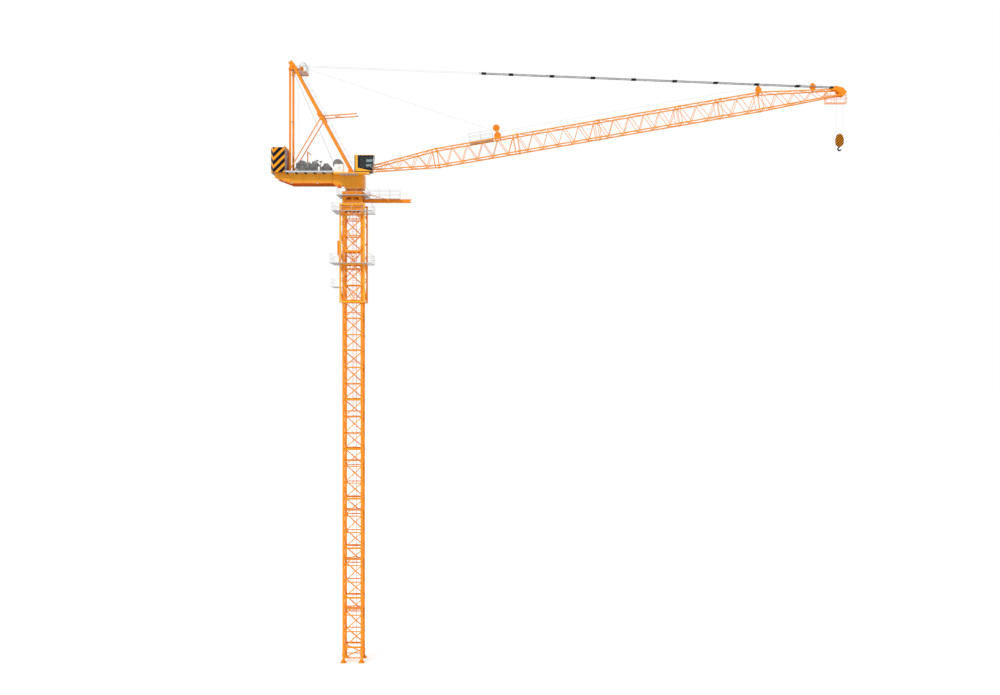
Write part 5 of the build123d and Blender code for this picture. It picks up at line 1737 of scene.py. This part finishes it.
def girderSide(web, flange):
    inner, outer, thick, rib = girder["inner"], girder["outer"], girder["flangeThick"], girder["stiffener"]
    (rear, front), (start, end) = girder["x"], girder["collarX"]
    ochre = [addSheet(web, -outer + 0.02, -inner, plateBevel)]
    ochre += [addBox((rear, -outer, deckTop - girder["topFlange"]), (front, -inner, deckTop), slatBevel)]
    for x, low in girder["stiffeners"]:
        high = deckTop - 0.04
        ochre += [addBox((x - rib, -outer + 0.002, low), (x + rib, -outer + 0.03, high), panelBevel)]
    # painted shade: a deep orange sheet on the inner face, and the lower flange strips in deep orange for their
    # shaded undersides
    deep = [addSheet(girder["shadeLining"], -inner + 0.002, -inner + 0.012)]
    for (xa, za), (xb, zb) in zip(flange, flange[1:]):
        strip = [(xa, za), (xb, zb), (xb, zb + thick), (xa, za + thick)]
        deep += [addSheet(strip, -outer, -inner + 0.02, sheetBevel)]
    collar, levels = girder["collar"], girder["collars"]
    yellow = [addBox((start, -outer - 0.01, z), (end, -inner, z + collar), beamBevel) for z in levels]
    lugs = [[(x + dx, z) for dx, z in girder["lug"]] for x in girder["lugs"]]
    grey = [addSheet(lug, -outer - 0.012, -outer + 0.01) for lug in lugs]
    finishes = ((ochre, ochreEnamel), (deep, deepShadeEnamel), (yellow, yellowEnamel), (grey, zinc))
    return [paint(piece, material) for pieces, material in finishes for piece in pieces]


def makeGirders():  # the near girder has a lug with a pin before the turret, the far one runs straight
    web, flange, corner = girder["web"], girder["flange"], (girder["turretEdge"], girder["belly"])
    near = girderSide(web, flange)
    out = girder["bossOut"]
    boss = addPin(girder["boss"], girder["bossRadius"], -girder["outer"] - out, -girder["inner"] + out, out)
    far = joinPieces("far_girder", girderSide(web[:4] + [corner] + web[8:], flange[:2] + [corner]))
    # the boss is in the deep orange that paints shade
    pieces = near + [paint(boss, deepShadeEnamel), mirrored(far)]
    bpy.data.objects.remove(far)
    finishPiece(joinPieces("girder_plates", pieces), "upperworks", ["deck_girders"])


walkway = {
    "x": (-3.99, -1.075),
    "z": (29.62, 29.72),
    "outer": 1.08,
    "wide": 0.425,
    "bracketX": (-3.9, -1.15),
    "brackets": 6,
    "bracket": [(-1.07, 29.6195), (-0.655, 29.6195), (-0.655, 29.565), (-1.07, 29.59)],
    "bracketHalf": 0.045,
    "cabLow": (-0.73, -1.4, 29.485),
    "cabHigh": (0.36, -0.72, 29.505),
}


def crossSheet(points, x0, x1):  # a plate cut to an outline in Y and Z
    piece = addSheet(points, x0, x1)
    piece.data.transform(Matrix(((0, 1, 0, 0), (1, 0, 0, 0), (0, 0, 1, 0), (0, 0, 0, 1))))
    return outwards(piece)


def makeWalkways():
    (first, last), count, half = walkway["bracketX"], walkway["brackets"], walkway["bracketHalf"]
    places = [first + i * (last - first) / (count - 1) for i in range(count)]
    one = joinPieces("brackets", [crossSheet(walkway["bracket"], x - half, x + half) for x in places])
    finishJoined("walkway_brackets", [one, mirrored(one)], blackEnamel, "upperworks")
    (x0, x1), (z0, z1), outer, wide = [walkway[key] for key in ("x", "z", "outer", "wide")]
    strips = [addBox((x0, y, z0), (x1, y + wide, z1), slatBevel) for y in (-outer, outer - wide)]
    finishJoined("walkway_grating", strips, gratingSteel, "upperworks", ["deck_walkways"])
    under = addBox(walkway["cabLow"], walkway["cabHigh"], sheetBevel)
    finishJoined("cab_platform_grating", [under], gratingSteel, "upperworks")


slabs = {
    "centres": [-0.8, -0.4, 0.0, 0.4, 0.8],
    "top": 31.15,
    "x": -4.08,
    "lug": [(-0.04, -0.01), (0.04, -0.01), (0.035, 0.09), (0.015, 0.12), (-0.015, 0.12), (-0.035, 0.09)],
    "lugHalf": 0.02,
    "strapX": (-4.04, -4.0),
    "strapHalf": 0.05,
    "strapZ": (deckTop + 0.02, 31.05),
}


def makeSlabLugs():
    outline = [(slabs["x"] + x, slabs["top"] + z) for x, z in slabs["lug"]]
    (x0, x1), (z0, z1), lug, half = slabs["strapX"], slabs["strapZ"], slabs["lugHalf"], slabs["strapHalf"]
    pieces = []
    for y in slabs["centres"]:
        strap = addBox((x0, y - half, z0), (x1, y + half, z1), beamBevel)
        pieces += [paint(addSheet(outline, y - lug, y + lug, slatBevel), orangeEnamel)]
        # painted light and shade: the two nearest straps in pale zinc as if lit, the others in deep orange as if
        # shaded
        pieces += [paint(strap, zinc if y < -0.3 else deepShadeEnamel)]
    finishPiece(joinPieces("slab_lugs", pieces), "upperworks")


makeGirders()
makeWalkways()
makeSlabLugs()
print("deck parts made")


# A-frame: round braces and back-stop arms, strut collars, hooped ladder, head fittings

aFrame = {
    "strutFoot": (-0.013, deckTop),
    "strutHead": (-3.7, 36.35),
    "strutY": 0.56,
    "braceFoot": (-3.72, 30.0),
    "braceHead": (-1.94, 32.98),
    "brace": 0.034,
    "bracePlate": [(-0.06, -0.08), (0.03, -0.08), (0.06, 0.02), (0.02, 0.09), (-0.06, 0.06)],
    "bracePlateY": (0.52, 0.6),
    "bracePin": 0.018,
    "tieX": -3.785,
    "tieReach": 0.5,
    "links": [32.86, 35.7],
    "link": 0.022,
    "armY": 0.4,
    "armStart": (-1.9, 33.14),
    "armEnd": (0.2, 33.285),
    "arm": 0.034,
    "armLink": (0.38, 0.02),  # share of the arm's length, radius
    "armBrace": (0.6, 0.014),
    "armPad": [(0, 0), (0.036, 0), (0.04, 0.006), (0.04, 0.04), (0, 0.04)],
    "armPadIn": 0.035,
}


def makeBraces():
    start, end, y = aFrame["braceFoot"], aFrame["braceHead"], aFrame["strutY"]
    runs = [ropeRun(start, end, side * y) for side in bothSides]
    pieces = [paint(addTubes("braces", runs, aFrame["brace"], 12), orangeEnamel)]
    x, reach = aFrame["tieX"], aFrame["tieReach"]
    links = [[(x, -reach, z), (x, reach, z)] for z in aFrame["links"]]
    pieces += [paint(addTubes("links", links, aFrame["link"]), barSteel)]
    for side in bothSides:
        near, far = sorted(side * y for y in aFrame["bracePlateY"])
        for x, z in (start, end):
            outline = [(x + dx, z + dz) for dx, dz in aFrame["bracePlate"]]
            pieces += [paint(addSheet(outline, near, near + 0.02, sheetBevel), orangeEnamel)]
            pieces += [paint(addPin((x, z), aFrame["bracePin"], near - 0.01, far, 0.01), orangeEnamel)]
    finishPiece(joinPieces("round_braces", pieces), "upperworks", ["a_frame_braces"])


def makeArms():
    (xa, za), (xb, zb), y = aFrame["armStart"], aFrame["armEnd"], aFrame["armY"]
    (first, link), (second, brace) = aFrame["armLink"], aFrame["armBrace"]
    (xm, zm), (xe, ze) = [(xa + share * (xb - xa), za + share * (zb - za)) for share in (first, second)]
    runs = [ropeRun((xa, za), (xb, zb), side * y) for side in bothSides]
    pieces = [paint(addTubes("arms", runs, aFrame["arm"], 12), orangeEnamel)]
    pieces += [paint(addTubes("arm_link", [[(xm, -y, zm), (xm, y, zm)]], link), barSteel)]
    runs = [[(xm, 0, zm), (xe, side * y, ze)] for side in bothSides]
    pieces += [paint(addTubes("arm_brace", runs, brace), orangeEnamel)]
    for side in bothSides:
        place = (xb - aFrame["armPadIn"], side * y, zb)
        pieces += [paint(addTurned(aFrame["armPad"], place, axis=(1, 0, 0.069), steps=20), blackEnamel)]
    finishPiece(joinPieces("round_arms", pieces), "upperworks", ["backstop_arms"])


strutParts = {
    "collars": [(33.24, 0.15, 0.12), (33.0, 0.145, 0.1)],  # height, half depth, half length
    "collarHalf": 0.1,
    "bands": (30.6, 31.6, 34.2, 35.2),
    "band": (0.015, 0.088),
    "footAt": 29.78,
    "foot": [(-0.2, 29.65), (0.12, 29.65), (0.07, 29.86), (-0.05, 29.94), (-0.14, 29.86)],
    "footPlates": (-0.115, 0.09),
    "footPlate": 0.025,
    "footPin": (-0.02, 29.8),
    "hoops": 15,
    "hoopFrom": 30.2,
    "hoopPitch": 0.36,
    "hoopHalf": 0.15,
    "hoopStart": -0.1,
    "hoopDeep": 0.26,
    "ladder": (30.0, 35.4),
    "ladderBars": ((0.15, -0.1), (-0.15, -0.1), (0.0, -0.36), (0.11, -0.28), (-0.11, -0.28)),
    "ladderTube": 0.0035,
}


def strutPlace(z):
    (xa, za), (xb, zb) = aFrame["strutFoot"], aFrame["strutHead"]
    return xa + (xb - xa) * (z - za) / (zb - za)


def strutTurn(z, y):
    (xa, za), (xb, zb) = aFrame["strutFoot"], aFrame["strutHead"]
    turn = Matrix.Rotation(-math.atan2(zb - za, xb - xa), 4, "Y")
    return Matrix.Translation((strutPlace(z), y, z)) @ turn


def makeStrutParts():
    foot, (band, bandHalf), pieces = strutPlace(strutParts["footAt"]), strutParts["band"], []
    outline = [(foot + x, z) for x, z in strutParts["foot"]]
    pin, plate, wide = strutParts["footPin"], strutParts["footPlate"], strutParts["collarHalf"]
    for y in (-aFrame["strutY"], aFrame["strutY"]):
        rings = [(z, length, wide, half, 0.02) for z, half, length in strutParts["collars"]]
        rings += [(z, band, bandHalf, bandHalf, plateBevel) for z in strutParts["bands"]]
        for z, length, across, half, bevel in rings:
            ring = addBeam((-length, length), across, (-half, half), bevel)
            ring.data.transform(strutTurn(z, y))
            pieces += [ring]
        pieces += [addSheet(outline, y + e, y + e + plate, plateBevel) for e in strutParts["footPlates"]]
        pieces += [addPin((foot + pin[0], pin[1]), 0.035, y - 0.13, y + 0.13, 0.015)]
    finishJoined("strut_parts", pieces, orangeEnamel, "upperworks")


def makeStrutLadder():
    half, start, deep = strutParts["hoopHalf"], strutParts["hoopStart"], strutParts["hoopDeep"]
    turns = [math.pi * k / 8 for k in range(9)]
    hoop = [Vector((0, half * math.cos(a), start - deep * math.sin(a))) for a in turns]
    runs = []
    for i in range(strutParts["hoops"]):
        turn = strutTurn(strutParts["hoopFrom"] + i * strutParts["hoopPitch"], -aFrame["strutY"])
        runs += [[turn @ point for point in hoop]]
    ends = [strutTurn(z, -aFrame["strutY"]) for z in strutParts["ladder"]]
    runs += [[end @ Vector((0, *bar)) for end in ends] for bar in strutParts["ladderBars"]]
    finishJoined("strut_ladder", [addTubes("ladder", runs, strutParts["ladderTube"], 6)], zinc,
                 "upperworks")


headStage = {
    "x": (-3.25, -2.82),
    "y": 0.5,
    "floor": 35.84,
    "floorReach": 0.56,
    "top": 36.4,
    "bracketY": 0.52,
    "gap": 0.12,  # the hoist rope passes between the two halves
    "ribs": 3,
    "middleRail": 0.3,
    "rail": 0.009,
}


def makeHeadStage():
    (x0, x1), z, y, gap, ribs = [headStage[key] for key in ("x", "floor", "y", "gap", "ribs")]
    low, high = z - 0.075, z - 0.03
    plate = addBeam((x0 - 0.05, x1), headStage["floorReach"], (high, z), plateBevel)
    pieces = [paint(plate, gratingSteel)]
    edge = [addBeam((x1 - 0.05, x1 - 0.01), y, (low, high), plateBevel)]
    for side in bothSides:
        at, bracket = side * y, side * headStage["bracketY"]
        edge += [addBox((x0 - 0.02, at - 0.02, low), (x1 - 0.01, at + 0.02, high), plateBevel),
                 addBox((x0 - 0.12, bracket - 0.03, low), (x0, bracket + 0.03, z), plateBevel)]
    pieces += [paint(joinPieces("stage_frame", edge), orangeEnamel)]
    middle, reach = (x0 + x1) / 2, (x1 - x0) / 2 - 0.02
    rear, front = middle - reach, middle + reach
    spring, rail = headStage["top"] - reach, z + headStage["middleRail"]
    turns = [math.pi * k / 12 for k in range(13)]
    arc = [(middle + reach * math.cos(a), spring + reach * math.sin(a)) for a in turns]
    runs = []
    for side in bothSides:
        for i in range(ribs):
            at = side * (gap + (y - gap) * i / (ribs - 1))
            runs += [[(a, at, b) for a, b in [(front, z)] + arc + [(rear, z)]]]
        runs += [[(a, side * gap, b), (a, side * y, b)] for a, b in (arc[0], arc[4])]
        runs += [[(rear, side * y, rail), (front, side * y, rail)]]
    pieces += [paint(addTubes("stage_hoops", runs, headStage["rail"]), zinc)]
    finishPiece(joinPieces("head_stage", pieces), "upperworks", ["head_platform"])


headPlate = {
    "outline": [(-3.86, 35.94), (-3.4, 35.94), (-3.345, 36.0), (-3.49, 36.25), (-3.66, 36.45),
                (-3.69, 36.4705), (-3.745, 36.4705), (-3.775, 36.4), (-3.893, 36.345), (-3.885, 36.3),
                (-3.8, 36.235), (-3.815, 36.1), (-3.86, 36.0)],
    "inner": 0.5425,
    "outer": 0.65,
    "beams": [(-3.82, -3.76), (-3.45, -3.39)],
    "beamHeight": (36.0055, 36.1055),
    "axle": 0.045,
    "tieY": (0.49, 0.59),
    "tiePlate": 0.02,
    "tiePin": 0.028,
    "fork": [(-0.085, 36.02), (0.085, 36.02), (0.075, 35.82), (0.03, 35.66), (-0.03, 35.66), (-0.075, 35.82)],
    "forkPin": 35.86,
    "shoe": [(-0.075, deckTop), (0.075, deckTop), (0.07, 29.82), (0.03, 29.94), (-0.03, 29.94),
             (-0.07, 29.82)],
    "shoePin": 29.82,
}


def makeHeadParts():
    inner, outer, plate, x = headPlate["inner"], headPlate["outer"], headPlate["tiePlate"], aFrame["tieX"]
    pieces = [addSheet(headPlate["outline"], low, low + outer - inner, beamBevel) for low in (-outer, inner)]
    pieces += [addPin(flatJoint("luffing_rope_swing"), headPlate["axle"], -outer - 0.03, outer + 0.03, 0.03)]
    pieces += [addBeam(beam, inner, headPlate["beamHeight"], beamBevel) for beam in headPlate["beams"]]
    for side in bothSides:
        low, high = sorted(side * y for y in headPlate["tieY"])
        for key in ("fork", "shoe"):
            outline = [(x + dx, z) for dx, z in headPlate[key]]
            pieces += [addSheet(outline, y, y + plate, plateBevel) for y in (low, high - plate)]
            pieces += [addPin((x, headPlate[key + "Pin"]), headPlate["tiePin"], low - 0.015, high + 0.015)]
    finishJoined("head_parts", pieces, orangeEnamel, "upperworks", ["a_frame_head"])


makeBraces()
makeArms()
makeStrutParts()
makeStrutLadder()
makeHeadStage()
makeHeadParts()
print("A-frame parts made")


# Jib head: side plates with a lightening gap, end lug and pins

jibHead = {
    "plate": 0.009,
    "strap": 0.0072,
    "y": 0.25,
    "start": 29.42,
    "low": -0.5,
    "strapWide": 0.07,
    "pendant": (29.62, 0.038),
    "rear": (-0.06, -0.15),
    "rim": [(-0.22, 0.16), (-0.14, 0.02), (-0.08, -0.13), (0, -0.21), (0.095, -0.272), (0.23, -0.235),
            (0.315, -0.11), (0.385, -0.044), (0.38, -0.026), (0.29, 0.05), (0.215, 0.22)],  # about the sheave
    "ear": [(0.14, 0.012), (0.04, 0.06), (-0.04, 0.06)],  # about the pendants' pin
    "wheel": [(0, -0.018), (0.06, -0.018), (0.065, -0.014), (0.1, -0.014), (0.11, -0.018), (0.124, -0.018),
              (0.13, -0.012)],
    "pendantPin": (0.028, 0.11, 0.285),
    "axle": (0.041, 0.3),
    "upperPin": (-0.18, 0.04, 0.28),
    "lowerPin": (29.47, -0.46, 0.29),
    "pin": 0.02,
}


def makeJibHead():
    (s, h), (x, z), start, low = ropes["headSheave"], jibHead["pendant"], jibHead["start"], jibHead["low"]
    upper = [(start, height) for height in jibHead["rear"]]
    upper += [(s + dx, h + dz) for dx, dz in jibHead["rim"]]
    upper += [(x + dx, z + dz) for dx, dz in jibHead["ear"]]
    lower = [(start, low), (s + 0.02, h - 0.225), (s - 0.05, h - 0.12), (start, low + jibHead["strapWide"])]
    pinRadius, pinStart, pinEnd = jibHead["pendantPin"]
    pieces = []
    for side in bothSides:
        middle = side * jibHead["y"]
        for points, half in ((upper, jibHead["plate"]), (lower, jibHead["strap"])):
            pieces += [addSheet(points, middle - half, middle + half, sheetBevel)]
        wheel = [(radius, middle + distance) for radius, distance in bothFaces(jibHead["wheel"])]
        pieces += [addTurned(wheel, (s, 0, h), steps=40)]
        near, far = sorted((side * pinStart, side * pinEnd))
        pieces += [addPin((x, z), pinRadius, near, far)]
    axle, reach = jibHead["axle"]
    pieces += [addPin((s, h), axle, -reach, reach, 0.025)]
    dx, dz, reach = jibHead["upperPin"]
    pieces += [addPin((s + dx, h + dz), jibHead["pin"], -reach, reach)]
    px, pz, reach = jibHead["lowerPin"]
    pieces += [addPin((px, pz), jibHead["pin"], -reach, reach)]
    finishJoined("jib_head_plates", pieces, orangeEnamel, "jib", ["jib_head"], jibTurn)


makeJibHead()
print("jib head made")
